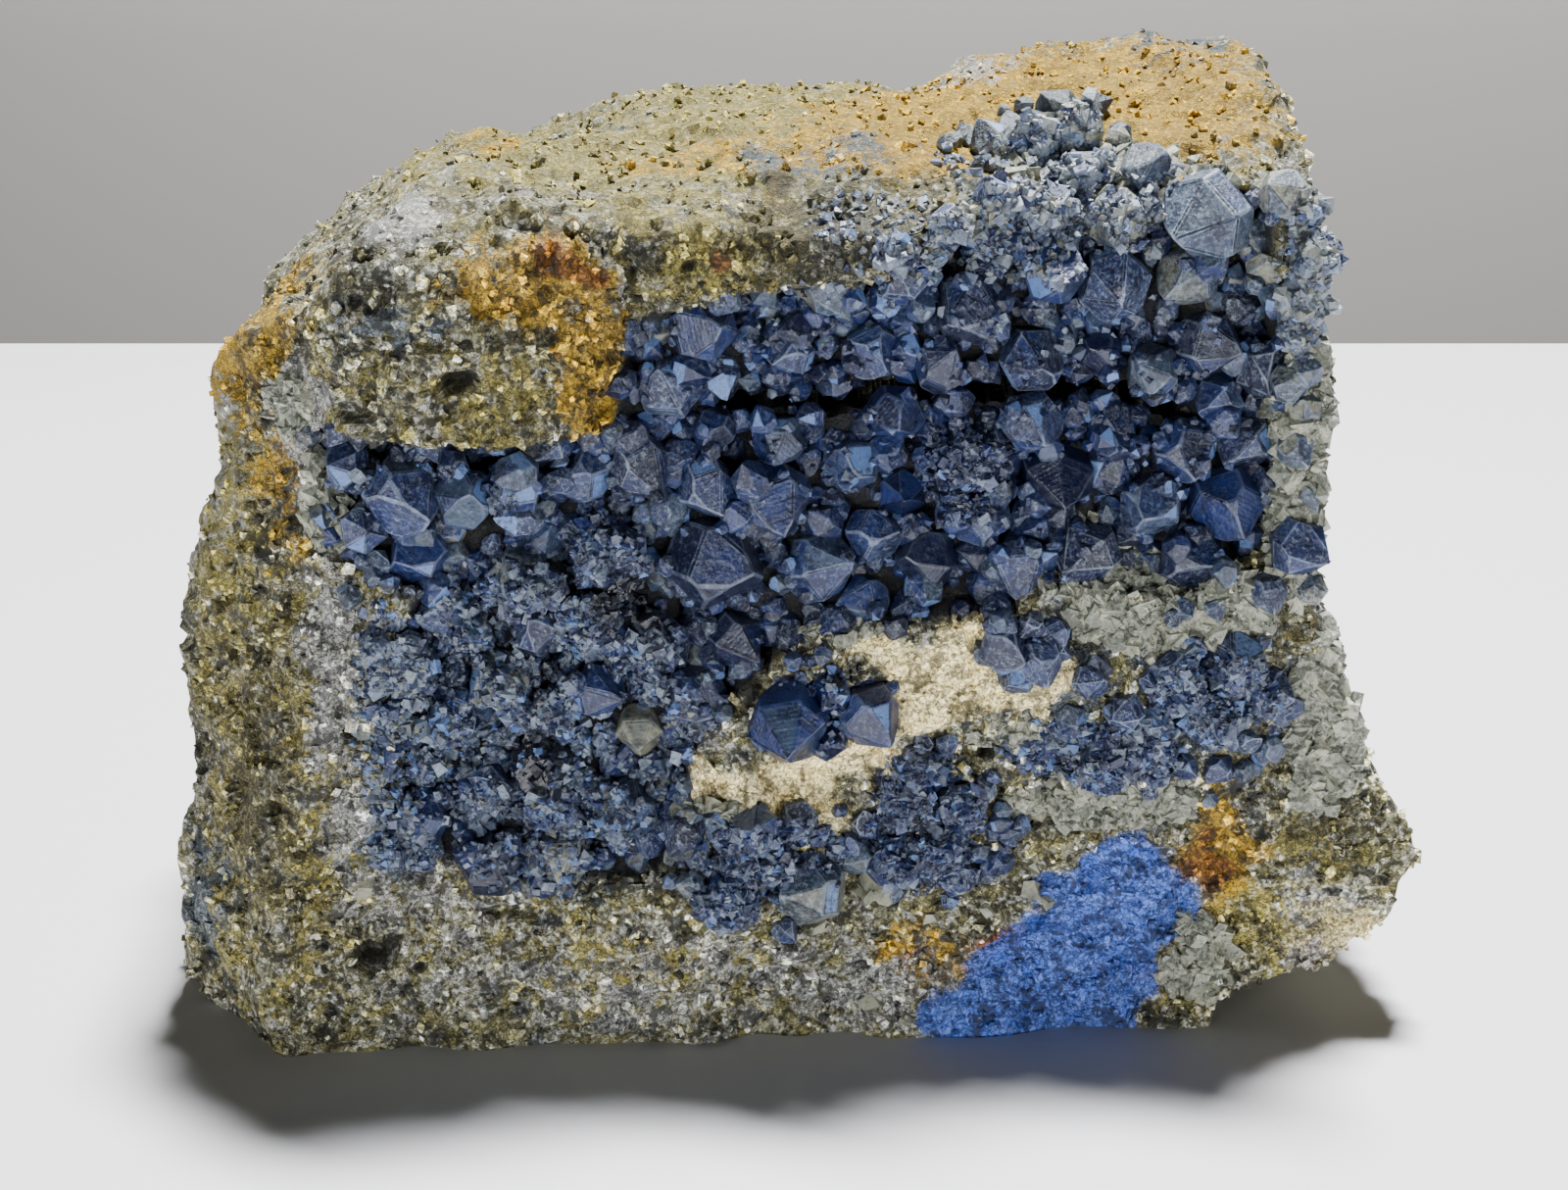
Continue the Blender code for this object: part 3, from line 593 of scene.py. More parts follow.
def grain_group() -> bpy.types.NodeTree:
    """Make the group that gives granular rock its grains, the painted shade in the gaps, pits and creases between
    them, and height.
    """
    group = new_group("rock grain", {"Grain Scale": 1800.0},
                      {"Light": "NodeSocketFloat", "Painted Gap Shade": "NodeSocketFloat",
                       "Height": "NodeSocketFloat", "Broad": "NodeSocketFloat"})
    board = Board(group)
    given = board.add("NodeGroupInput")
    vector, scale = given.outputs["Vector"], given.outputs["Grain Scale"]
    cells = board.add("ShaderNodeTexVoronoi", Vector=vector, Scale=scale, Randomness=1.0)
    edges = board.add("ShaderNodeTexVoronoi", {"feature": "DISTANCE_TO_EDGE"}, Vector=vector,
                      Scale=scale, Randomness=1.0)
    fine = board.add("ShaderNodeTexNoise", Vector=vector, Scale=board.math("MULTIPLY", scale, 1.3),
                     Detail=4.0, Roughness=0.65).outputs["Fac"]
    broad = board.add("ShaderNodeTexNoise", Vector=vector, Scale=board.math("MULTIPLY", scale, 0.3),
                      Detail=3.0, Roughness=0.6).outputs["Fac"]
    cell_light = board.add("ShaderNodeSeparateColor", Color=cells.outputs["Color"]).outputs[0]
    light = board.math("ADD", board.math("MULTIPLY", cell_light, 0.45),
                       board.math("MULTIPLY", fine, 0.55))
    gap_edge = board.math("SUBTRACT", 1.0, board.ramp(edges.outputs["Distance"], 0.0, 0.13))
    pits = board.ramp(board.math("ADD", fine, board.math("MULTIPLY", broad, 0.8)), 0.90, 0.76)
    creases = board.add("ShaderNodeTexNoise", Vector=vector, Scale=board.math("MULTIPLY", scale, 0.85),
                        Detail=3.0, Roughness=0.6).outputs["Fac"]
    creases = board.math("ABSOLUTE", board.math("SUBTRACT", creases, 0.5))
    creases = board.math("SUBTRACT", 1.0, board.ramp(creases, 0.006, 0.042))
    # the gap output is painted shade: darkness in the gaps between grains, in pits and in creases
    gap = board.math("MAXIMUM", board.math("MULTIPLY", gap_edge, 0.3), pits)
    gap = board.math("MAXIMUM", board.math("MULTIPLY", creases, 0.78), gap)
    height = board.math("SUBTRACT", board.math("MULTIPLY", light, 0.6), gap)
    result = board.add("NodeGroupOutput")
    for key, value in (("Light", light), ("Painted Gap Shade", gap), ("Height", height), ("Broad", broad)):
        board.put(result.inputs[key], value)
    return group


@dataclass(frozen=True)
class RockFinish:
    """The granular rock: its own colours, the colour of each stain, and the near black of its painted shade."""

    name: str = "granular matrix rock"
    pale: tuple = srgb(212, 209, 172)
    middle: tuple = srgb(126, 121, 84)
    # gap: the near black of the painted shade in gaps and hollows
    gap: tuple = srgb(30, 28, 20)
    roughness: float = 0.88
    yellowed: tuple = srgb(190, 180, 104)
    greyed: tuple = srgb(112, 116, 108)
    salt: tuple = srgb(240, 240, 232)
    grain_size: float = 0.52 * MM
    bump_depth: float = 0.22 * MM
    stains: tuple = (
        (Stain.YELLOW, srgb(196, 180, 84), 0.74, 0.80),
        (Stain.COOL, srgb(104, 124, 148), 0.72, -0.80),
        (Stain.OCHRE, srgb(224, 178, 30), 0.88, 0.90),
        (Stain.RUST, srgb(166, 98, 24), 0.86, -0.60),
        (Stain.WHITE, srgb(236, 236, 228), 0.85, -0.80),
        (Stain.CREAM, srgb(255, 232, 172), 0.98, 0.34),
        # dark patches, and the painted shade in the pits
        (Stain.DARK, srgb(40, 41, 30), 0.82, 0.80),
        (Stain.POWDER, srgb(52, 92, 180), 0.92, 0.52),
        (Stain.CRUST, srgb(14, 20, 42), 0.96, 0.25),
    )

    def build(self) -> bpy.types.Material:
        """Make the material: grains with painted shade in their hollows, then each stain over them, then painted
        shade in the gaps between grains, the tone and the bump.
        """
        material = bpy.data.materials.new(self.name)
        material.use_nodes = True
        board = Board(material.node_tree)
        shader = material.node_tree.nodes["Principled BSDF"]
        place = board.add("ShaderNodeTexCoord").outputs["Object"]
        grain = board.add("ShaderNodeGroup", {"node_tree": bpy.data.node_groups["rock grain"]},
                          Vector=place, Grain_Scale=1.0 / self.grain_size)
        light, gap = grain.outputs["Light"], grain.outputs["Painted Gap Shade"]
        colour = board.mix(board.ramp(light, 0.36, 0.62), self.middle, self.pale)
        hue = board.noise(place, 2.2 * MM, 4.0, 0.6)
        colour = board.mix(board.math("MULTIPLY", board.ramp(hue, 0.47, 0.64), 0.65), colour,
                           self.yellowed)
        colour = board.mix(board.math("MULTIPLY", board.ramp(hue, 0.46, 0.34), 0.60), colour,
                           self.greyed)
        salt = board.math("MULTIPLY", board.ramp(light, 0.60, 0.70), 0.75)
        colour = board.mix(salt, colour, self.salt)
        # painted shade in broad hollows, less where the rock is worn
        painted_hollow_shade = board.math("MULTIPLY", board.ramp(grain.outputs["Broad"], 0.42, 0.32),
                             board.math("SUBTRACT", 0.7, board.attribute("worn")))
        colour = board.mix(painted_hollow_shade, colour, self.gap)
        swing = board.math("ADD", board.noise(place, 0.6 * MM, 4.0, 0.7),
                           board.math("MULTIPLY", grain.outputs["Broad"], 0.8))
        swing = board.math("ADD", swing, board.math("MULTIPLY", hue, 0.8))
        swing = board.math("SUBTRACT", swing, 1.3)
        for stain, tint, most, ragged in self.stains:
            edge = board.add("ShaderNodeGroup", {"node_tree": bpy.data.node_groups["stain edge"]},
                             Cover=board.attribute(stain.value), Swing=swing, Raggedness=ragged)
            shaded = board.mix(board.math("MULTIPLY", light, 0.5), tint,
                               tuple(min(1.0, 1.3 * c) for c in tint[:3]) + (1.0,))
            share = board.math("MULTIPLY", edge.outputs["Mask"], most)
            colour = board.mix(share, colour, shaded)
        # painted shade in the gaps between grains, less where the rock is worn
        kept = board.math("SUBTRACT", 0.85, board.attribute("worn"))
        painted_gap_shade = board.math("MULTIPLY", gap, kept)
        colour = board.mix(painted_gap_shade, colour, self.gap)
        # tone sets the brightness: the grains' own random tone, and painted shade: a dark block between the grains,
        # a darker top and darker up-facing grains that offset the strong lamp above
        lift = board.math("ADD", board.math("MULTIPLY", board.attribute("tone"), 1.75), 0.18)
        colour = board.mix(1.0, colour, lift, "MULTIPLY")
        board.put(shader.inputs["Base Color"], colour)
        shader.inputs["Roughness"].default_value = self.roughness
        shader.inputs["IOR"].default_value = 1.5
        bump = board.add("ShaderNodeBump", Height=grain.outputs["Height"], Strength=0.9,
                         Distance=self.bump_depth)
        board.put(shader.inputs["Normal"], bump.outputs["Normal"])
        return material


@dataclass(frozen=True)
class QuartzFinish:
    """Slightly clear quartz with a dark core, pale rims, etched, striped faces and a painted glint on a few faces.
    """

    name: str
    deep: tuple
    core: tuple
    rim: tuple
    grey: tuple
    # pit: near black of etch pits and creases, and of the painted shade on crystals in cavities
    pit: tuple = srgb(12, 13, 20)
    clear: float = 0.15
    roughness: float = 0.25
    warm: tuple = srgb(132, 132, 112)
    # painted glint: the light blue of a face that stands for reflected light
    painted_glint: tuple = srgb(104, 136, 190)

    def build(self) -> bpy.types.Material:
        """Make the material from the crystals' own values: core, tint and along."""
        material = bpy.data.materials.new(self.name)
        material.use_nodes = True
        board = Board(material.node_tree)
        shader = material.node_tree.nodes["Principled BSDF"]
        place = board.add("ShaderNodeTexCoord").outputs["Object"]
        core, tint, frost = (board.attribute(key) for key in ("core", "tint", "frost"))
        cloud = board.noise(place, 1.5 * MM, 4.0, 0.6)
        fine = board.noise(place, 0.34 * MM, 4.0, 0.65)
        wrinkles = board.noise(place, 0.95 * MM, 5.0, 0.62)
        body = board.mix(board.ramp(tint, 0.0, 0.45), self.deep, self.core)
        body = board.mix(board.ramp(tint, 0.50, 0.80), body, self.grey)
        body = board.mix(board.ramp(tint, 0.88, 1.15), body, self.warm)
        # a tint below 0 turns the crystal near black: random dark crystals, and painted shade for crystals in
        # cavities
        body = board.mix(board.ramp(tint, -0.05, -0.6), body, self.pit)
        shadow = board.math("MULTIPLY", board.ramp(cloud, 0.58, 0.36), 0.7)
        body = board.mix(shadow, body, self.deep)
        line = board.math("ABSOLUTE", board.math("SUBTRACT", wrinkles, 0.5))
        line = board.math("SUBTRACT", 1.0, board.ramp(line, 0.0, 0.04))
        share = board.math("MULTIPLY", line, board.math("MULTIPLY", frost, 0.32))
        colour = board.mix(share, body, self.rim)
        crease = board.math("ABSOLUTE", board.math("SUBTRACT", wrinkles, 0.42))
        crease = board.math("SUBTRACT", 1.0, board.ramp(crease, 0.0, 0.03))
        colour = board.mix(board.math("MULTIPLY", crease, 0.55), colour, self.pit)
        # painted glint: faces marked with core 2 turn light blue, standing for reflected light
        painted_glint = board.math("MULTIPLY", board.ramp(core, 1.15, 1.7), 0.75)
        colour = board.mix(painted_glint, colour, self.painted_glint)
        flecks = board.math("MULTIPLY", board.ramp(fine, 0.54, 0.68), frost)
        colour = board.mix(board.math("MULTIPLY", flecks, 0.72), colour, self.rim)
        pits = board.math("MULTIPLY", board.ramp(fine, 0.47, 0.37), frost)
        colour = board.mix(board.math("MULTIPLY", pits, 0.95), colour, self.pit)
        edge = board.math("ADD", board.math("SUBTRACT", 1.0, core),
                          board.math("MULTIPLY", board.math("SUBTRACT", cloud, 0.5), 1.6))
        rimmed = board.math("MULTIPLY", board.ramp(edge, 0.55, 1.3),
                            board.math("ADD", 0.04, board.math("MULTIPLY", frost, 0.7)))
        colour = board.mix(rimmed, colour, self.rim)
        board.put(shader.inputs["Base Color"], colour)
        stripes = board.math("SINE", board.math("MULTIPLY", board.attribute("along"), 26.0))
        relief = board.math("ADD", board.math("MULTIPLY", fine, frost),
                            board.math("MULTIPLY", wrinkles, 0.8))
        height = board.math("ADD", board.math("MULTIPLY", stripes, 0.018), relief)
        bump = board.add("ShaderNodeBump", Height=height, Strength=0.8, Distance=0.24 * MM)
        board.put(shader.inputs["Normal"], bump.outputs["Normal"])
        rough = board.math("ADD", self.roughness, board.math("MULTIPLY", frost, 0.38))
        board.put(shader.inputs["Roughness"], rough)
        shader.inputs["IOR"].default_value = 1.544
        shader.inputs["Transmission Weight"].default_value = self.clear
        return material


@dataclass
class CrystalShapes:
    """A small library of short double-ended crystals whose faces grew at unequal rates.

    Each one is a cube cut by the planes of a six-sided prism and of two pyramids. Its edges
    are eased by narrow facets, and a ring inside each face lets the rim be told from the core.
    Small crystals do without the ring, so rim is 0 for them. A few large faces are marked with core 2 for a painted
    glint: a light blue face that stands for reflected light.
    """

    count: int = 40
    seed: int = 77
    prism: float = 0.30
    pyramid: float = 1.08
    spread: float = 0.13
    ease: float = 0.045
    rim: float = 0.085
    # share of large faces that get a painted glint
    painted_glints: float = 0.07
    variants: list = field(default_factory=list)

    def planes(self, random: np.random.Generator) -> list[tuple[Vector, float]]:
        """Return the direction and distance of each face of one crystal of radius 1."""
        apothem = math.cos(math.pi / 6.0)
        slope = math.hypot(self.pyramid, apothem)
        out, up = self.pyramid / slope, apothem / slope
        reach = apothem * out + self.prism * up
        major = int(random.integers(2))
        faces = []
        for i in range(6):
            angle = math.pi / 6.0 + i * math.pi / 3.0
            across = Vector((math.cos(angle), math.sin(angle), 0.0))
            faces.append((across, apothem * random.uniform(1.0 - self.spread, 1.04)))
            for end in (1.0, -1.0):
                grown = -0.07 if (i + major + (end < 0)) % 2 else 0.05
                share = 1.0 + grown + random.uniform(-self.spread, self.spread) * 0.7
                faces.append(((across * out + Vector((0, 0, end * up))).normalized(), reach * share))
        return faces

    def build(self) -> None:
        """Make the library: points, faces and the points' values core and shift."""
        random = np.random.default_rng(self.seed)
        for _ in range(self.count):
            shape = bmesh.new()
            bmesh.ops.create_cube(shape, size=4.0)
            for facing, distance in self.planes(random):
                cut = bmesh.ops.bisect_plane(
                    shape, geom=shape.verts[:] + shape.edges[:] + shape.faces[:],
                    plane_co=facing * distance, plane_no=facing, clear_outer=True)
                rim = [e for e in cut["geom_cut"] if isinstance(e, bmesh.types.BMEdge)]
                if len(rim) > 2:
                    bmesh.ops.contextual_create(shape, geom=rim)
            bmesh.ops.remove_doubles(shape, verts=shape.verts, dist=0.02)
            bmesh.ops.bevel(shape, geom=shape.edges[:], offset=self.ease, segments=1,
                            affect="EDGES", clamp_overlap=True)
            bmesh.ops.recalc_face_normals(shape, faces=shape.faces)
            large = [f for f in shape.faces if f.calc_area() > 0.05]
            if self.rim:
                bmesh.ops.inset_individual(shape, faces=large, thickness=self.rim, depth=0.0)
            shape.verts.index_update()
            core, shift = np.zeros(len(shape.verts)), np.zeros(len(shape.verts))
            for face in large:
                own = [corner.index for corner in face.verts]
                # core 2 marks a face for a painted glint
                core[own] = 2.0 if random.uniform() < self.painted_glints else 1.0
                shift[own] = random.uniform(-0.5, 0.5)
            points = np.array([corner.co for corner in shape.verts])
            faces = [[corner.index for corner in face.verts] for face in shape.faces]
            self.variants.append((points, faces, core, shift))
            shape.free()


DARK_ZONE = (11.0, 43.0, 23.0, 11.0)
# places where crystals are blackened: painted shade in cavities
CAVITIES: Places = ((-17.3, 22.3, 1.7), (-10.8, 33.2, 2.3), (9.6, 16.9, 1.2))


def in_context(place: Vector, look: tuple[float, float]) -> tuple[float, float]:
    """Darken a crystal's look in the deep middle of the hollow, and blacken it in a cavity, as painted shade in the
    cavity.

    Args:
        place: where the crystal stands.
        look: its tint and frosting.

    Returns:
        The tint and frosting that suit the place.
    """
    x, z = place[0] / MM, place[2] / MM
    # crystals in a cavity turn near black: painted shade in the cavity
    if any(math.hypot(x - a, z - b) < reach for a, b, reach in CAVITIES):
        return (-0.8, 0.1)
    middle_x, middle_z, reach_x, reach_z = DARK_ZONE
    away = math.hypot((x - middle_x) / reach_x, (z - middle_z) / reach_z)
    gloom = float(soft_step(np.array(1.5 - away)))
    return (look[0] * (1.0 - 0.35 * gloom), look[1] * (1.0 - 0.35 * gloom))


@dataclass
class Crystals:
    """A list of crystals: where each stands, how it is turned and how large it is."""

    centres: list = field(default_factory=list)
    turns: list = field(default_factory=list)
    radii: list = field(default_factory=list)
    tints: list = field(default_factory=list)
    frosts: list = field(default_factory=list)

    def stand(self, starts: list[tuple[Vector, float]], surface: BVHTree, outward: Vector,
              proud: float, random: np.random.Generator, lean_limit: float = math.radians(52),
              tints: tuple[float, float] = (0.0, 1.0), frosts: tuple[float, float] = (0.0, 1.0),
              looks: Places = ()) -> None:
        """Stand crystals on the rock, each leaning away from its direction by a random angle.

        Args:
            starts: a point in front of the rock and a corner radius for each crystal.
            surface: the rock's surface.
            outward: the direction that the rock faces there.
            proud: how much further out the crystals stand than their size asks.
            random: the source of the random turns.
            lean_limit: the largest lean.
            tints: the range of tints, from deep blue to grey.
            frosts: the range of frosting, from clean faces to rough pale ones.
            looks: tint and frosting of the first crystals, where these are known.
        """
        shade = np.random.default_rng(len(starts) * 7 + 3)
        base = outward.to_track_quat("Z", "Y").to_matrix()
        for start, radius in starts:
            hit = surface.ray_cast(start, -outward)[0]
            if hit is None:
                continue
            lean = lean_limit * math.sqrt(random.uniform())
            round_axis = random.uniform(0.0, 2.0 * math.pi)
            spin = random.uniform(0.0, math.pi / 3.0)
            random.uniform(-0.22, 0.22, 4)
            turn = (base @ Matrix.Rotation(round_axis, 3, "Z") @ Matrix.Rotation(lean, 3, "X")
                    @ Matrix.Rotation(spin, 3, "Z"))
            self.turns.append(np.array(turn))
            self.centres.append(np.array(hit + outward * (0.30 * radius + proud)))
            self.radii.append(radius)
            look = (shade.uniform(*tints), shade.uniform(*frosts))
            if len(self.tints) < len(looks):
                look = looks[len(self.tints)]
            look = in_context(hit, look)
            self.tints.append(look[0])
            self.frosts.append(look[1])

    def build(self, name: str, library: CrystalShapes) -> bpy.types.Object:
        """Make one mesh of all the crystals, each a closed body."""
        places, faces, values, start = [], [], {"core": [], "tint": [], "frost": [], "along": []}, 0
        for i, (centre, turn, radius) in enumerate(zip(self.centres, self.turns, self.radii)):
            points, polygons, core, shift = library.variants[(i * 7 + len(self.radii)) % library.count]
            places.append(points @ turn.T * radius + centre)
            faces += [[start + j for j in polygon] for polygon in polygons]
            start += len(points)
            # crystals with a tint under 0.2 get no painted glint
            values["core"].append(np.minimum(core, 1.0) if self.tints[i] < 0.2 else core)
            values["along"].append(points[:, 2] * radius / MM)
            values["tint"].append(self.tints[i] + 0.45 * shift)
            values["frost"].append(np.full(len(points), self.frosts[i]))
        joined = {key: np.concatenate(lists) for key, lists in values.items()}
        return make_mesh(name, np.concatenate(places), faces, joined)


def front_starts(places: Places) -> list[tuple[Vector, float]]:
    """Give each crystal, listed in mm, a point in front of the rock to start from."""
    return [(Vector((x * MM, -30.5 * MM, z * MM)), radius * MM) for x, z, radius in places]


def inside_loop(x: float, z: float, outline: np.ndarray) -> bool:
    """Tell whether one point lies inside an outline, by counting the edges that it looks at."""
    following = np.roll(outline, -1, axis=0)
    spans = (outline[:, 1] > z) != (following[:, 1] > z)
    start, end = outline[spans], following[spans]
    reach = start[:, 0] + (z - start[:, 1]) * (end[:, 0] - start[:, 0]) / (end[:, 1] - start[:, 1])
    return bool(np.count_nonzero(x < reach) % 2)


def offset_outline(outline: Places, distance: float) -> np.ndarray:
    """Move an outline in mm inwards by a distance, corner by corner."""
    points = np.array(outline) * MM
    before = points - np.roll(points, 1, axis=0)
    after = np.roll(points, -1, axis=0) - points
    turn = np.sign((points[:, 0] * np.roll(points[:, 1], -1)
                    - np.roll(points[:, 0], -1) * points[:, 1]).sum())
    normals = []
    for run in (before, after):
        run = run / np.linalg.norm(run, axis=1)[:, None]
        normals.append(turn * np.stack((-run[:, 1], run[:, 0]), axis=1))
    middle = normals[0] + normals[1]
    middle /= np.linalg.norm(middle, axis=1)[:, None]
    reach = 1.0 / np.maximum((middle * normals[0]).sum(axis=1), 0.5)
    return points + middle * (distance * reach)[:, None]


def on_bare_patch(places: np.ndarray) -> np.ndarray:
    """Tell which places, as across and up, lie on the cream or the powder."""
    patches = [np.array(outline) * MM for outline in (StainMap.cream, StainMap.powder)]
    return np.any([inside_distance(places, loop) > 0.0 for loop in patches], axis=0)


def tree_over(*items: bpy.types.Object) -> BVHTree:
    """Return a tree for casting rays on several objects at once."""
    points, faces = [], []
    for item in items:
        start = len(points)
        points += [corner.co[:] for corner in item.data.vertices]
        faces += [[start + j for j in polygon.vertices] for polygon in item.data.polygons]
    return BVHTree.FromPolygons(points, faces)


class GrainShapes:
    """Small angular grains: cubes with every corner moved, then stretched and turned."""

    corners = np.array(list(itertools.product((-0.5, 0.5), repeat=3)))
    sides = np.array([(0, 1, 3, 2), (4, 6, 7, 5), (0, 4, 5, 1), (2, 3, 7, 6), (0, 2, 6, 4),
                      (1, 5, 7, 3)])

    def __init__(self, random: np.random.Generator) -> None:
        """Start from a source of random shapes."""
        self.random = random

    def turns(self, count: int) -> np.ndarray:
        """Return random turns, from quaternions with normally spread parts."""
        w, x, y, z = (q := self.random.normal(size=(4, count))) / np.linalg.norm(q, axis=0)
        rows = ((1 - 2 * (y * y + z * z), 2 * (x * y - z * w), 2 * (x * z + y * w)),
                (2 * (x * y + z * w), 1 - 2 * (x * x + z * z), 2 * (y * z - x * w)),
                (2 * (x * z - y * w), 2 * (y * z + x * w), 1 - 2 * (x * x + y * y)))
        return np.moveaxis(np.array(rows), 2, 0)

    def build(self, name: str, centres: np.ndarray, sizes: np.ndarray,
              values: dict[str, np.ndarray]) -> bpy.types.Object:
        """Make one mesh of grains.

        Args:
            name: the object's name.
            centres: the middle of each grain.
            sizes: how wide each grain is.
            values: numbers of each grain, which its points carry.

        Returns:
            The object. A grain's corners are moved by up to a quarter of its width, and its
            three widths differ by up to a third. What would reach under the table is flattened.
        """
        count = len(centres)
        shapes = self.corners + self.random.uniform(-0.24, 0.24, (count, 8, 3))
        widths = sizes[:, None] * self.random.uniform(0.7, 1.2, (count, 3))
        points = np.einsum("nij,npj->npi", self.turns(count), shapes * widths[:, None, :])
        points += centres[:, None, :]
        points[:, :, 2] = np.maximum(points[:, :, 2], 0.0)
        faces = (np.arange(count)[:, None, None] * 8 + self.sides).reshape(-1, 4)
        spread = {key: np.repeat(numbers, 8) for key, numbers in values.items()}
        return make_mesh(name, points.reshape(-1, 3), faces.tolist(), spread)


def ellipse_places(random: np.random.Generator, region: Places, count: int) -> np.ndarray:
    """Return random places, as across and up, in an ellipse given in mm."""
    x, z, reach_x, reach_z = region
    angle = random.uniform(0, 2 * math.pi, count)
    away = np.sqrt(random.uniform(0, 1, count)) * random.uniform(0.75, 1.0, count)
    places = np.stack((x + reach_x * away * np.cos(angle), z + reach_z * away * np.sin(angle)), 1)
    return places * MM


def drop_on(tree: BVHTree, places: np.ndarray) -> tuple[np.ndarray, np.ndarray]:
    """Cast places of the front on to a surface; return the hits and which places had one."""
    hits = [tree.ray_cast(Vector((x, -31 * MM, z)), Vector((0, 1, 0)))[0] for x, z in places]
    found = np.array([hit is not None for hit in hits])
    return np.array([hit[:] for hit in hits if hit is not None]), found


CLEAN: Places = ((-10.2, 23.4, 2.0), (30.7, 39.4, 2.9), (0.4, 25.0, 3.0), (5.9, 25.2, 2.3),
                 (-25.6, 41.2, 2.6), (-21.6, 41.0, 2.2), (28.5, 59.3, 3.2), (22.3, 54.6, 2.6),
                 (18.9, 41.1, 2.4), (-4.8, 35.6, 3.2), (9.9, 35.6, 2.0), (2.0, 12.0, 2.3),
                 (15.2, 30.0, 1.6), (-13.1, 26.7, 1.8), (-17.1, 31.0, 1.6), (8.2, 40.3, 1.6))


def on_clean_crystal(places: np.ndarray) -> np.ndarray:
    """Tell which places, as across and up, lie on a crystal that stays clean."""
    return np.any([np.hypot(places[:, 0] - x * MM, places[:, 1] - z * MM) < 0.9 * radius * MM
                   for x, z, radius in CLEAN], axis=0)


@dataclass
class CrustGrains:
    """The fine grains that dust the crystals, thick in some zones and thin in others."""

    tree: BVHTree
    hollow: Hollow
    zones: tuple = (
        ((-16.5, 24.5, 11.0, 13.0), 2100, 0.72), ((-17.0, 33.5, 7.0, 3.5), 300, 0.6),
        ((12.4, 42.0, 3.4, 3.6), 420, 0.5), ((10.0, 16.8, 4.4, 6.2), 1500, 0.4),
        ((-1.6, 14.6, 6.0, 4.0), 500, 0.5), ((-3.9, 12.3, 2.8, 2.8), 420, 0.55),
        ((30.0, 26.4, 5.0, 3.6), 1150, 0.5), ((21.6, 22.0, 6.6, 2.8), 1150, 0.35),
        ((-24.0, 41.5, 7.0, 2.8), 320, 0.6), ((15.0, 57.2, 11.0, 2.6), 450, 0.9),
        ((13.0, 48.0, 20.0, 12.0), 380, 0.45), ((-12.4, 36.4, 3.6, 3.4), 420, 0.55),
        ((3.0, 25.4, 6.0, 3.4), 260, 0.4), ((20.0, 60.4, 10.0, 2.0), 300, 1.1),
        ((17.5, 65.6, 5.6, 3.0), 700, 1.1), ((16.0, 62.6, 7.0, 1.6), 300, 1.2),
        ((35.0, 55.6, 2.4, 6.4), 560, 1.2),
        ((8.0, 59.4, 8.0, 1.4), 160, 1.1), ((-27.0, 15.4, 2.9, 1.9), 260, 0.7), ((-27.0, 25.0, 3.0, 10.0), 800, 0.8),
    )

    def build(self) -> bpy.types.Object:
        """Make the grains of all zones: pale, middle and nearly black ones side by side."""
        random = np.random.default_rng(91)
        centres, sizes, cores, tints, frosts = [], [], [], [], []
        for region, count, paleness in self.zones:
            places = ellipse_places(random, region, count)
            hidden = on_bare_patch(places) | on_clean_crystal(places)
            spots, _ = drop_on(self.tree, places[~hidden])
            spots = spots[spots[:, 2] > 1.0 * MM]
            spots = spots[spots[:, 1] < -9 * MM]
            number = len(spots)
            centres.append(spots)
            sizes.append(random.choice((0.28, 0.38, 0.5, 0.75), number, p=(0.35, 0.4, 0.2, 0.05)) * MM)
            kind = random.uniform(0, 1, number)
            # painted glint: some grains, more of them in the zones below 30 mm up, are marked with core 2 and turn
            # light blue
            painted_glints = kind > (0.92 if region[1] < 30.0 else 0.97)
            cores.append(np.select((kind < paleness * 0.7, painted_glints), (0.0, 2.0), 1.0))
            drawn = zip(random.uniform(0, 1, number) * paleness * 1.5,
                        random.uniform(0.2, 1.0, number))
            looks = np.array([in_context(spot, look) for spot, look in zip(spots, drawn)])
            tints.append(looks[:, 0])
            frosts.append(looks[:, 1])
        core = np.concatenate(cores)
        values = {"core": core, "tint": np.concatenate(tints), "frost": np.concatenate(frosts),
                  "along": core * 0.0}
        return GrainShapes(random).build("crust_grains", np.concatenate(centres),
                                         np.concatenate(sizes), values)


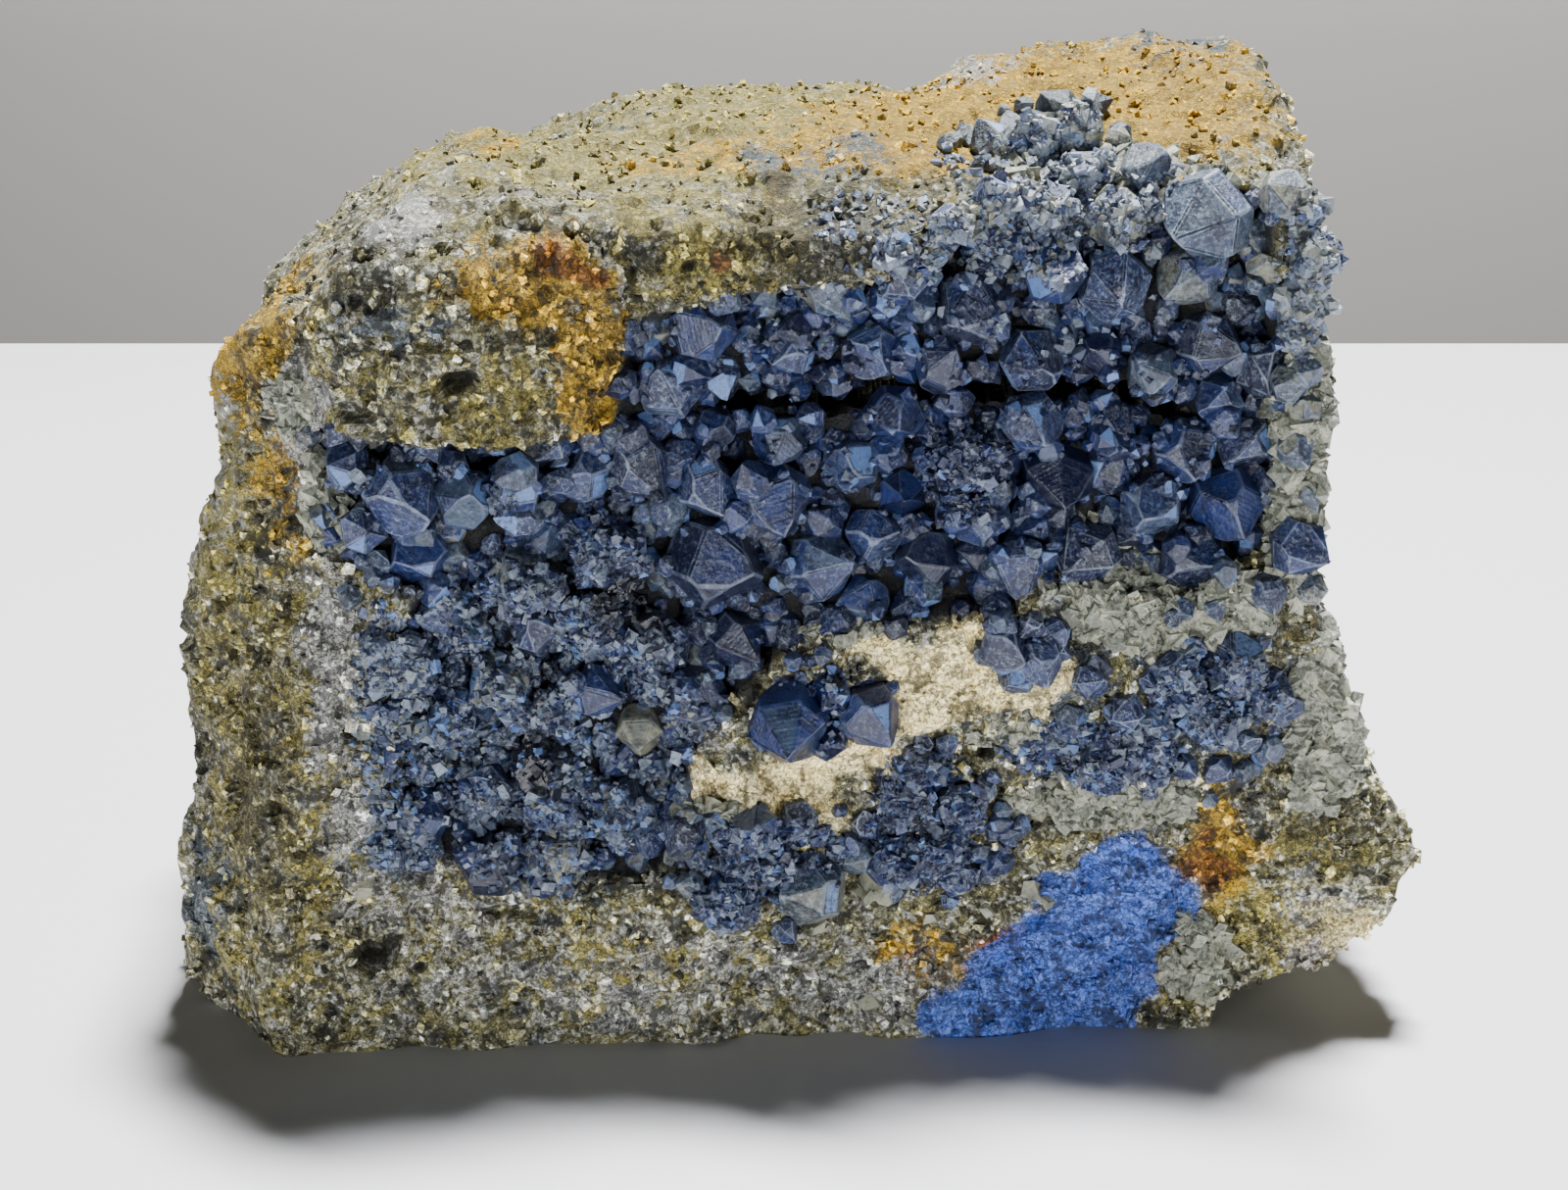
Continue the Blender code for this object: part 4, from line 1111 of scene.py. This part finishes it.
@dataclass
class PaleBands:
    """The coarse pale grains along the right edge and under the hollow, and the white chips."""

    tree: BVHTree
    bands: tuple = (
        ((35.3, 45.6, 1.9, 6.4), 300, 0.5, 1.3), ((35.4, 38.0, 2.2, 5.6), 240, 0.5, 1.4),
        ((26.7, 32.4, 8.0, 3.6), 460, 0.5, 1.3), ((20.5, 35.6, 4.2, 2.6), 200, 0.5, 1.1),
        ((38.6, 23.5, 3.6, 7.6), 420, 0.45, 1.2), ((4.0, 31.0, 3.0, 1.0), 40, 0.5, 0.9),
        ((22.5, 17.6, 8.0, 1.6), 170, 0.5, 1.1), ((15.6, 23.2, 2.6, 1.6), 40, 0.5, 0.9),
        ((30.0, 5.5, 3.0, 4.0), 120, 0.5, 1.0), ((-33.0, 47.0, 2.0, 2.4), 90, 0.5, 1.0),
        ((-31.0, 40.0, 1.6, 4.0), 90, 0.6, 1.2), ((22.0, 60.6, 11.0, 2.6), 300, 0.5, 1.1),
        ((-4.4, 17.6, 3.4, 1.5), 60, 0.7, 1.4),
    )
    chips: Places = ((17.8, 10.9, 1.2), (6.4, 11.6, 1.5), (7.2, 10.7, 1.3), (5.8, 10.6, 1.1),
                     (2.2, 8.4, 1.0), (6.3, 2.4, 1.3), (-29.5, 12.6, 1.2), (14.5, 9.6, 0.8),
                     (-21.5, 13.0, 0.9), (10.6, 9.0, 0.8), (25.0, 18.4, 1.2), (21.6, 19.4, 1.1),
                     (26.4, 19.6, 1.0), (28.6, 20.0, 0.9), (33.0, 31.6, 0.8), (18.9, 10.2, 0.8),
                     (20.4, 18.6, 0.8), (23.4, 19.8, 0.9), (24.2, 18.9, 0.8), (27.6, 18.8, 0.7),
                     (19.4, 20.0, 0.7), (22.6, 18.3, 0.9), (17.4, 14.2, 0.7), (17.9, 12.6, 0.8),
                     (-31.8, 43.6, 1.1), (-32.2, 41.8, 0.9), (-31.4, 40.6, 1.0), (-30.8, 38.8, 0.9),
                     (-32.4, 46.4, 0.8), (-29.8, 37.6, 1.0), (-28.9, 36.2, 0.8), (-31.6, 45.0, 0.8))

    def build(self) -> tuple[bpy.types.Object, bpy.types.Object]:
        """Make the coarse grains, and the chips."""
        random = np.random.default_rng(53)
        centres, sizes = [], []
        for region, count, small, large in self.bands:
            places = ellipse_places(random, region, count)
            spots, _ = drop_on(self.tree, places[~on_bare_patch(places)])
            spots = spots[spots[:, 2] > 1.5 * MM]
            centres.append(spots)
            sizes.append(random.uniform(small, large, len(spots)) * MM)
        centres, sizes = np.concatenate(centres), np.concatenate(sizes)
        count = len(centres)
        values = {"core": random.uniform(0.2, 1.0, count), "tint": random.uniform(0, 1, count),
                  "frost": random.uniform(0.3, 1.0, count), "along": np.zeros(count)}
        coarse = GrainShapes(random).build("coarse_pale_grains", centres, sizes, values)
        rows = np.array(self.chips)
        spots, found = drop_on(self.tree, rows[:, :2] * MM)
        number = len(spots)
        values = {"core": np.zeros(number), "tint": np.ones(number), "frost": np.zeros(number),
                  "along": np.zeros(number)}
        chips = GrainShapes(random).build("white_chips", spots, rows[found, 2] * MM, values)
        return coarse, chips


@dataclass(frozen=True)
class Cluster:
    """A cluster outside the hollow: its solid, its crystals in mm, and its range of tints."""

    node: str
    crystals: Places
    reach: float
    tints: tuple[float, float] = (0.0, 0.8)
    frosts: tuple[float, float] = (0.3, 1.0)


@dataclass
class Druse:
    """All the quartz: the hollow's crust and the clusters round it."""

    rock: bpy.types.Object
    surface: BVHTree
    shape: CrystalShapes
    plain_shape: CrystalShapes
    hollow: Hollow
    upper: Places = ((28.5, 59.3, 3.3), (22.3, 54.6, 2.7), (27.3, 55.0, 2.2), (22.6, 58.8, 2.2),
                     (32.6, 55.6, 1.7), (12.6, 53.0, 2.9), (-5.4, 52.0, 2.5), (21.6, 50.0, 1.9),
                     (28.7, 50.4, 2.4), (5.9, 50.2, 2.1), (0.3, 50.2, 1.9))
    middle: Places = ((29.8, 46.6, 1.9), (-0.3, 44.2, 2.0), (-4.8, 44.9, 1.6), (-0.7, 40.2, 2.8),
                      (4.6, 42.3, 2.1), (8.2, 40.3, 1.8), (12.4, 42.4, 2.5), (13.4, 38.6, 2.3),
                      (18.9, 41.1, 2.8), (9.9, 35.6, 2.4), (22.9, 43.4, 1.7), (30.7, 39.4, 2.9),
                      (-12.0, 36.4, 2.9), (-4.8, 35.6, 3.6), (2.4, 35.3, 2.6), (-3.6, 30.0, 2.3))
    row: Places = ((-29.2, 43.2, 1.8), (-25.6, 41.2, 2.9), (-21.6, 41.0, 2.4), (-18.2, 41.6, 2.3),
                   (-28.4, 39.0, 1.8))
    lower_left: Places = ((-17.1, 31.0, 1.9), (-13.1, 26.7, 2.1), (-10.2, 23.4, 2.0),
                          (-23.2, 24.4, 2.0), (-20.6, 19.6, 2.1), (-11.3, 17.6, 2.5))
    clusters: tuple[Cluster, ...] = (
        Cluster("quartz_centre_cluster", ((0.4, 25.0, 3.0), (5.9, 25.2, 2.4), (3.2, 26.9, 1.7),
                                          (3.0, 23.4, 1.6)), 5.0, (0.1, 0.55), (0.0, 0.5)),
        Cluster("quartz_pair_cluster", ((15.2, 30.0, 1.9), (17.6, 29.2, 1.7),
                                        (16.2, 28.0, 1.5)), 3.4),
        Cluster("quartz_foot_cluster", ((-4.6, 17.4, 1.6), (-1.9, 17.4, 1.9), (0.9, 17.2, 1.7),
                                        (-3.9, 12.3, 2.4), (-3.2, 14.9, 1.8), (2.0, 12.0, 2.7),
                                        (-0.9, 14.6, 1.8)), 6.5, (0.2, 1.0)),
        Cluster("quartz_knoll_cluster", ((8.6, 18.6, 2.4), (10.6, 14.6, 2.3), (7.6, 13.6, 2.1),
                                         (12.8, 18.2, 1.9), (9.6, 21.0, 1.6),
                                         (12.4, 11.8, 1.6)), 6.5),
        Cluster("quartz_right_cluster", ((27.2, 27.4, 2.3), (31.4, 28.4, 2.5), (29.6, 24.6, 2.3),
                                         (25.4, 23.6, 2.0), (33.9, 26.0, 1.8),
                                         (22.4, 21.2, 2.0)), 7.5),
    )
    top: Cluster = Cluster("quartz_top_cluster", ((14.6, -13.8, 1.8), (17.4, -14.6, 2.0),
                                                  (20.2, -14.0, 1.9), (16.0, -11.0, 1.7),
                                                  (19.0, -11.2, 1.7)), 6.5, (0.35, 1.1),
                           (0.6, 1.0))
    looks: Places = ((.75, .6), (.5, .8), (1., .6), (.95, .7), (1.2, .6), (.12, .45), (.3, .3),
                     (.1, .05), (.08, .4), (.7, .6), (.6, .7), (.65, .5), (.85, .4), (.3, .3),
                     (.35, .45), (1., .3), (.3, .1), (.45, 1.), (.75, .6), (0., .15), (0., .2),
                     (.5, .35), (.48, .2), (.5, .85), (.15, .3), (.85, .5), (.05, .15), (.3, .6),
                     (.35, .25), (1.25, .2), (.4, .9), (.3, .8), (.75, .6))
    strays: Places = ((24.6, 61.6, 2.1, 0.8, 0.7), (20.4, 61.4, 2.0, 0.9, 0.8),
                      (31.8, 57.8, 1.6, 1.0, 0.7), (14.0, 60.6, 1.8, 0.5, 0.8),
                      (10.8, 59.2, 1.6, 0.65, 0.9), (33.0, 60.8, 1.9, 1.1, 0.7),
                      (7.2, 57.8, 1.5, 0.7, 0.9), (17.2, 58.8, 1.9, 0.35, 0.7),
                      (34.4, 51.6, 1.4, 0.95, 0.7), (35.2, 55.0, 1.3, 0.7, 0.9),
                      (34.0, 48.2, 1.5, 1.0, 0.8), (35.3, 49.6, 1.0, 0.9, 0.9),
                      (35.2, 57.2, 1.8, 1.2, 0.5), (35.0, 53.4, 1.6, 1.1, 0.7),
                      (34.6, 60.0, 1.5, 1.2, 0.8), (35.3, 36.6, 2.3, 0.45, 0.5),
                      (35.0, 49.0, 1.3, 0.9, 0.7), (34.8, 43.6, 1.4, 1.1, 0.6),
                      (36.4, 33.8, 1.2, 1.0, 0.9), (37.8, 30.7, 0.9, 1.2, 0.6),
                      (35.4, 46.4, 1.1, 1.1, 0.5), (36.0, 39.8, 1.2, 1.1, 0.6),
                      (33.4, 33.6, 1.4, 0.6, 0.8), (-27.8, 36.0, 1.2, 0.8, 0.9),
                      (-29.6, 34.0, 1.0, 0.9, 0.9), (-28.0, 31.0, 1.1, 0.6, 0.9),
                      (-27.6, 15.6, 1.5, 0.5, 0.9), (-25.6, 14.0, 1.1, 0.3, 0.9),
                      (-6.6, 17.9, 1.1, 0.9, 0.7), (5.2, 14.0, 1.4, 0.9, 0.6),
                      (21.2, 27.6, 1.4, 0.3, 0.8), (23.6, 25.4, 1.5, 0.5, 0.9),
                      (20.0, 24.6, 1.2, 0.6, 0.8), (18.6, 61.0, 1.5, 0.6, 0.8),
                      (16.0, 60.4, 1.6, 0.4, 0.8), (13.2, 58.2, 1.4, 0.7, 0.9),
                      (26.0, 61.6, 1.3, 0.9, 0.9), (9.8, 57.2, 1.2, 0.8, 0.9))
    row_proud: float = 1.8 * MM
    gap: float = 0.3 * MM

    def scattered(self, taken: list, others: list) -> list[tuple[float, float, float]]:
        """Fill the hollow with large crystals that keep their spacing, as in the solid.

        Args:
            taken: the crystals that stand in the hollow already, in metres.
            others: the crystals of the clusters, which are kept clear of.

        Returns:
            The new crystals as across, up and radius in metres.
        """
        random = np.random.default_rng(21)
        rim = offset_outline(self.hollow.rim, 0.3 * MM)
        low, high = rim.min(axis=0), rim.max(axis=0)
        crystals = list(taken)
        for turn in range(2600):
            x, z = random.uniform(low, high)
            radius = 2.6 * MM + (1.7 - 2.6) * MM * turn / 2600
            if not inside_loop(x, z, rim):
                continue
            if inside_loop(x, z, offset_outline(self.hollow.cleft, -0.35 * radius)):
                continue
            if any(math.hypot(x - a, z - b) < radius + r + 2.0 * self.gap for a, b, r in others):
                continue
            if all(math.hypot(x - a, z - b) > 0.82 * (radius + r) for a, b, r in crystals):
                crystals.append((x, z, radius))
        return crystals[len(taken):]

    def build_crust(self) -> tuple[bpy.types.Object, Places]:
        """Make the large crystals that line the hollow; return them with their places."""
        random = np.random.default_rng(5)
        outward = Vector((0, -1, 0))
        even = [tuple(v * MM for v in c) for c in self.upper + self.middle + self.lower_left]
        row = [tuple(v * MM for v in c) for c in self.row]
        others = [tuple(v * MM for v in c) for cluster in self.clusters for c in cluster.crystals]
        even += self.scattered(even + row, others)
        crust = Crystals()
        crust.stand(front_starts(np.array(even) / MM), self.surface, outward, 0.0, random,
                    tints=(-0.1, 1.2), frosts=(0.1, 0.9), looks=self.looks)
        crust.stand(front_starts(self.row), self.surface, outward, self.row_proud, random,
                    tints=(0.05, 0.7), frosts=(0.2, 0.7))
        for x, z, radius, tint, frost in self.strays:
            crust.stand(front_starts([(x, z, radius)]), self.surface, outward, 0.0, random,
                        tints=(tint, tint), frosts=(frost, frost))
        log.info("crust: %d large crystals", len(crust.radii))
        stands = [(*centre, radius) for centre, radius in zip(crust.centres, crust.radii)]
        return crust.build("crust_large_crystals", self.shape), stands

    def fill_in(self, over: BVHTree, large: Places) -> bpy.types.Object:
        """Set small crystals between the large ones of the hollow, and a few on them."""
        random = np.random.default_rng(44)
        rim = offset_outline(self.hollow.rim, -0.5 * MM)
        low, high = rim.min(axis=0), rim.max(axis=0)
        places = []
        centres = np.array(large)
        while len(places) < 1000:
            x, z = random.uniform(low, high)
            radius = random.choice((0.45, 0.6, 0.8, 1.1, 1.5), p=(0.3, 0.3, 0.2, 0.13, 0.07))
            if not inside_loop(x, z, rim):
                continue
            if inside_loop(x, z, offset_outline(self.hollow.cleft, -0.2 * MM)):
                continue
            away = np.hypot(centres[:, 0] - x, centres[:, 2] - z) / centres[:, 3]
            if away.min() < 0.72 and random.uniform() < 0.93:
                continue
            if on_clean_crystal(np.array([[x, z]]))[0]:
                continue
            if away.min() > 1.1:
                radius = max(radius, 0.95)
            places.append((x / MM, z / MM, radius))
        small = Crystals()
        small.stand(front_starts(places), over, Vector((0, -1, 0)), -0.25 * MM, random,
                    math.radians(80), (0.0, 1.0), (0.2, 1.0))
        return small.build("crust_small_crystals", self.plain_shape)

    def build_cluster(self, cluster: Cluster, starts: list[tuple[Vector, float]],
                      outward: Vector) -> bpy.types.Object:
        """Make one cluster with its large crystals and small ones round them."""
        random = np.random.default_rng(len(cluster.node) + len(cluster.crystals))
        group = Crystals()
        group.stand(starts, self.surface, outward, 0.0, random, tints=cluster.tints,
                    frosts=cluster.frosts)
        middle = sum((start for start, _ in starts), Vector()) / len(starts)
        side = outward.orthogonal().normalized()
        other = outward.cross(side)
        extra = []
        for _ in range(int(7 * cluster.reach)):
            angle, away = random.uniform(0, 2 * math.pi), math.sqrt(random.uniform()) * cluster.reach
            shift = (side * math.cos(angle) + other * math.sin(angle)) * away * MM
            place = middle + shift
            if abs(outward[1]) > 0.9 and on_bare_patch(np.array([[place[0], place[2]]]))[0]:
                continue
            extra.append((middle + shift, random.uniform(0.5, 1.1) * MM))
        group.stand(extra, self.surface, outward, 0.1 * MM, random, math.radians(70),
                    cluster.tints, cluster.frosts)
        return group.build(cluster.node.replace("quartz_", "") + "_crystals", self.shape)

    def build(self, blue: bpy.types.Material, grey: bpy.types.Material) -> None:
        """Make all the quartz and dress it."""
        large, stands = self.build_crust()
        place_piece(large, blue, "blue_quartz", "quartz_main_druse")
        small = self.fill_in(tree_over(self.rock, large), stands)
        place_piece(small, blue, "blue_quartz")
        groups = []
        for cluster in self.clusters:
            groups.append(self.build_cluster(cluster, front_starts(cluster.crystals),
                                             Vector((0, -1, 0))))
            place_piece(groups[-1], blue, "blue_quartz", cluster.node)
        starts = [(Vector((x * MM, y * MM, 74.6 * MM)), r * MM) for x, y, r in self.top.crystals]
        groups.append(self.build_cluster(self.top, starts, Vector((0.0, -0.45, 0.89))))
        place_piece(groups[-1], grey, "grey_quartz", self.top.node)
        grains = CrustGrains(tree_over(self.rock, large, small, *groups), self.hollow)
        place_piece(grains.build(), blue, "blue_quartz")


def place_piece(piece: bpy.types.Object, material: bpy.types.Material, slot: str,
                *nodes: str) -> None:
    """Dress a piece, let it ride on the root body, hide the solids it stands for, and log its faces and slot."""
    piece.data.materials.clear()
    piece.data.materials.append(material)
    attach(piece, "root")
    if nodes:
        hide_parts(*nodes)
    log.info("%s: %d faces, slot %s", piece.name, len(piece.data.polygons), slot)


@dataclass
class RockBlock:
    """The block of rock, finer than its solid, with its relief and stains."""

    form: BlockForm
    hollow: Hollow
    stains: StainMap
    cells: tuple[int, int, int] = (200, 58, 146)
    pits: Places = PITS

    def relief(self, points: np.ndarray) -> np.ndarray:
        """Return the height of the broken surface's lumps, grit and small holes."""
        lumps = 0.34 * MM * (0.5 - np.abs(lattice_noise(points, 2.6 * MM, 1)))
        lumps += 0.26 * MM * lattice_noise(points, 1.5 * MM, 2)
        grit = 0.20 * MM * lattice_noise(points, 0.8 * MM, 3)
        holes = 0.70 * MM * soft_step((lattice_noise(points, 1.7 * MM, 4) - 0.30) / 0.22)
        holes *= 1.0 - 0.7 * self.stains.wear(points)
        return lumps + grit - holes

    def pit_depth(self, points: np.ndarray) -> np.ndarray:
        """Return how deep the named pits go at the points of the front."""
        depth = np.zeros(len(points))
        front = points[:, 1] < -10 * MM
        for x, z, radius in self.pits:
            away = np.hypot(points[:, 0] - x * MM, (points[:, 2] - z * MM) * 1.25) / (radius * MM)
            depth = np.maximum(depth, 1.6 * radius * MM * soft_step(1.6 - 1.5 * away) * front)
        return depth

    def build(self) -> tuple[bpy.types.Object, np.ndarray, np.ndarray]:
        """Make the block.

        Returns:
            The object, its points and their directions outwards.
        """
        shares, quads, ring = GridBox(self.cells).build()
        points = self.hollow.sink(self.form.surface(shares), shares)
        normals = point_normals(points, quads)
        above = shares[:, 2] > 1e-6
        push = self.relief(points) * soft_step(points[:, 2] / (1.5 * MM)) - 0.1 * MM
        points = points + normals * (push * above)[:, None]
        points[:, 1] += self.pit_depth(points)
        points[:, 2] = np.where(above, np.maximum(points[:, 2], 0.02 * MM), 0.0)
        masks = {stain.value: cover for stain, cover in self.stains.masks(points).items()}
        # tone: the block is dark, painted shade that shows in the gaps between the grains; its top is darker still,
        # painted shade that offsets the strong lamp above; the bottom and the lower right lobe are lighter, and the
        # cream and powder keep a light tone
        up = soft_step((points[:, 2] - 57 * MM) / (4 * MM))
        calm = np.maximum(masks["cream"], masks["powder"])
        low = soft_step((15 * MM - points[:, 2]) / (6 * MM))
        lobe = low * soft_step((points[:, 0] - 31 * MM) / (4 * MM))
        masks["tone"] = np.maximum(0.15 - 0.05 * up + 0.08 * low + 0.2 * lobe, 0.74 * calm)
        masks["worn"] = self.stains.wear(points)
        faces = quads.tolist() + [ring]
        block = make_mesh("matrix_block", points, faces, masks)
        return block, points, point_normals(points, quads)


@dataclass
class RockGrains:
    """Angular grains set all over the broken rock, which make its salt-and-pepper relief."""

    hollow: Hollow
    stains: StainMap
    sizes: tuple[float, ...] = (0.30, 0.40, 0.52, 0.70)
    shares: tuple[float, ...] = (0.32, 0.36, 0.24, 0.08)

    def spread(self, block: bpy.types.Object, random: np.random.Generator,
               count: int) -> tuple[np.ndarray, np.ndarray]:
        """Return random places on the block's faces, as even as their areas, and directions."""
        number = len(block.data.polygons)
        areas, centres, facings = np.zeros(number), np.zeros(number * 3), np.zeros(number * 3)
        block.data.polygons.foreach_get("area", areas)
        block.data.polygons.foreach_get("center", centres)
        block.data.polygons.foreach_get("normal", facings)
        centres, facings = centres.reshape(-1, 3), facings.reshape(-1, 3)
        seen = (facings[:, 1] < 0.2) & (facings[:, 0] < 0.75) & (centres[:, 1] < 21 * MM)
        weights = areas * np.where(seen, 1.0, 0.42)
        weights[-1] = 0.0
        chosen = random.choice(number, count, p=weights / weights.sum())
        shift = random.uniform(-0.3, 0.3, (count, 3)) * MM
        return centres[chosen] + shift, facings[chosen]

    def build(self, block: bpy.types.Object) -> list[bpy.types.Object]:
        """Make the grains, in two pieces: those of the front, and the rest."""
        random = np.random.default_rng(17)
        places, facings = self.spread(block, random, 31000)
        sizes = random.choice(self.sizes, len(places), p=self.shares) * MM
        covered = (self.hollow.inside(places[:, 0], places[:, 2]) > 0.3 * MM)
        covered &= (places[:, 1] < -10 * MM)
        kept = ~covered & (places[:, 2] > 0.95 * sizes)
        drawn = random.uniform(0, 1, len(places))
        kept &= ((facings[:, 2] < 0.6) | (drawn < 0.4)) & ((facings[:, 0] > -0.6) | (drawn < 0.45))
        for x, z, radius in PITS:
            away = np.hypot(places[:, 0] - x * MM, (places[:, 2] - z * MM) * 1.25)
            kept &= (away > 0.85 * radius * MM) | (places[:, 1] > -10 * MM)
        places, facings, sizes = places[kept], facings[kept], sizes[kept]
        sizes = sizes * (1.0 - 0.25 * soft_step((facings[:, 2] - 0.3) / 0.4))
        leftward = soft_step((-facings[:, 0] - 0.5) / 0.3)
        sizes = sizes * (1.0 - 0.35 * leftward)
        places = places - facings * (0.2 * sizes * leftward)[:, None]
        places = places + facings * (sizes * random.uniform(-0.50, -0.05, len(sizes)))[:, None]
        kind = random.uniform(0, 1, len(places))
        tone = np.select((kind < 0.30, kind < 0.55), (random.uniform(-0.05, 0.15, len(places)),
                         random.uniform(0.25, 0.6, len(places))),
                         random.uniform(0.65, 1.35, len(places)))
        values = {stain.value: cover for stain, cover in self.stains.masks(places).items()}
        calm = np.maximum(values["cream"], values["powder"])
        # up-facing grains are pulled to a dark tone: painted shade that offsets the strong lamp above; the cream and
        # powder keep a light tone
        up = soft_step((facings[:, 2] - 0.3) / 0.4)
        values["tone"] = tone + (0.20 - tone) * 0.6 * up
        values["tone"] += (0.72 - values["tone"]) * 0.75 * calm
        values["worn"] = self.stains.wear(places)
        front = facings[:, 1] < -0.5
        pieces = []
        for name, chosen in (("front_grains", front), ("other_grains", ~front)):
            pieces.append(GrainShapes(random).build(
                name, places[chosen], sizes[chosen],
                {key: numbers[chosen] for key, numbers in values.items()}))
        return pieces


@dataclass
class StageSet:
    """The floor, the backdrop, the lights and the camera."""

    camera_place: tuple[float, float, float] = (0.0, -188.74 * MM, 89.11 * MM)
    camera_pitch: float = math.radians(18)
    lens: float = 60.0
    table_edge_y: float = 213 * MM

    def floor(self) -> None:
        """Lay a pale table whose far edge is where the photograph shows it."""
        material = bpy.data.materials.new("pale table")
        material.use_nodes = True
        shader = material.node_tree.nodes["Principled BSDF"]
        shader.inputs["Base Color"].default_value = srgb(204, 204, 208)
        shader.inputs["Roughness"].default_value = 0.6
        near, far, side = -1.2, self.table_edge_y, 1.2
        corners = np.array([(-side, near, 0), (side, near, 0), (side, far, 0), (-side, far, 0)])
        table = make_mesh("table", corners, [[0, 1, 2, 3]])
        table.data.materials.append(material)
        table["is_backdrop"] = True

    def backdrop(self) -> None:
        """Stand a plain grey wall far behind the table."""
        material = bpy.data.materials.new("grey wall")
        material.use_nodes = True
        shader = material.node_tree.nodes["Principled BSDF"]
        shader.inputs["Base Color"].default_value = srgb(196, 194, 191)
        shader.inputs["Roughness"].default_value = 0.9
        corners = np.array([(-2, 1.3, -1.2), (2, 1.3, -1.2), (2, 1.3, 0.12), (-2, 1.3, 0.12)])
        wall = make_mesh("wall", corners, [[0, 1, 2, 3]])
        wall.data.materials.append(material)
        wall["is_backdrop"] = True

    def lamp(self, name: str, place: tuple, aim: tuple, size: tuple, power: float,
             colour: tuple = (1.0, 1.0, 1.0)) -> None:
        """Hang one flat soft lamp that looks at a point."""
        data = bpy.data.lights.new(name, "AREA")
        data.shape = "RECTANGLE"
        data.size, data.size_y = size
        data.energy = power
        data.color = colour
        item = bpy.data.objects.new(name, data)
        item.location = place
        item.rotation_euler = (Vector(aim) - Vector(place)).to_track_quat("-Z", "Y").to_euler()
        bpy.context.scene.collection.objects.link(item)

    def lights(self) -> None:
        """Hang the lamp above and a little behind, and two wide low ones in front."""
        self.lamp("overhead", (0.055, 0.110, 0.62), (0.0, 0.0, 0.02), (0.13, 0.07), 21.5)
        self.lamp("front left", (-0.42, -0.66, 0.030), (0.0, 0.0, 0.035), (0.50, 0.05), 3.7,
                  (0.96, 0.98, 1.0))
        self.lamp("front right", (0.38, -0.70, 0.030), (0.0, 0.0, 0.035), (0.50, 0.05), 2.5,
                  (0.96, 0.98, 1.0))
        self.lamp("wall wash", (0.25, 0.75, 0.45), (0.25, 1.3, 0.35), (1.6, 0.4), 12.0)
        world = bpy.data.worlds.new("soft room")
        world.use_nodes = True
        world.node_tree.nodes["Background"].inputs["Color"].default_value = (0.80, 0.83, 0.90, 1)
        world.node_tree.nodes["Background"].inputs["Strength"].default_value = 0.012
        bpy.context.scene.world = world

    def camera(self) -> None:
        """Set the camera at the photograph's place and angle."""
        data = bpy.data.cameras.new("camera")
        data.lens = self.lens
        data.sensor_width = 36.0
        data.sensor_fit = "HORIZONTAL"
        data.clip_start = 0.01
        item = bpy.data.objects.new("camera", data)
        item.location = self.camera_place
        item.rotation_euler = (math.pi / 2 - self.camera_pitch, 0.0, 0.0)
        bpy.context.scene.collection.objects.link(item)
        bpy.context.scene.camera = item

    def build(self) -> None:
        """Set up all of it."""
        self.camera()
        self.floor()
        self.backdrop()
        self.lights()


def main() -> None:
    """Build the specimen's pieces in order, dress them and set the stage."""
    StageSet().build()
    stain_edge_group()
    grain_group()
    form = BlockForm()
    hollow = Hollow(form)
    rock = RockBlock(form, hollow, StainMap())
    block, points, _ = rock.build()
    rock_finish = RockFinish().build()
    place_piece(block, rock_finish, "matrix", "matrix_rock")
    for piece in RockGrains(hollow, rock.stains).build(block):
        place_piece(piece, rock_finish, "matrix")
    surface = BVHTree.FromPolygons(points.tolist(), [p.vertices[:] for p in block.data.polygons])
    blue = QuartzFinish("blue quartz", srgb(8, 15, 46), srgb(28, 45, 97), srgb(162, 175, 190),
                        srgb(63, 78, 96)).build()
    pale = QuartzFinish("pale granular quartz", srgb(88, 92, 80), srgb(136, 140, 124),
                        srgb(206, 208, 192), srgb(160, 160, 140), srgb(40, 40, 32), 0.0,
                        0.4).build()
    grey = QuartzFinish("grey quartz", srgb(12, 18, 30), srgb(34, 46, 64), srgb(128, 140, 146),
                        srgb(58, 68, 76)).build()
    shapes, plain_shapes = CrystalShapes(), CrystalShapes(ease=0.06, rim=0.0)
    shapes.build()
    plain_shapes.build()
    Druse(block, surface, shapes, plain_shapes, hollow).build(blue, grey)
    coarse, chips = PaleBands(surface).build()
    place_piece(coarse, pale, "grey_quartz")
    place_piece(chips, pale, "grey_quartz")
    boxes = {"cad": CAD_BOX, "visual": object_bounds()}
    {key: [list(corner) for corner in box] for key, box in boxes.items()}


if __name__ == "__main__":
    main()
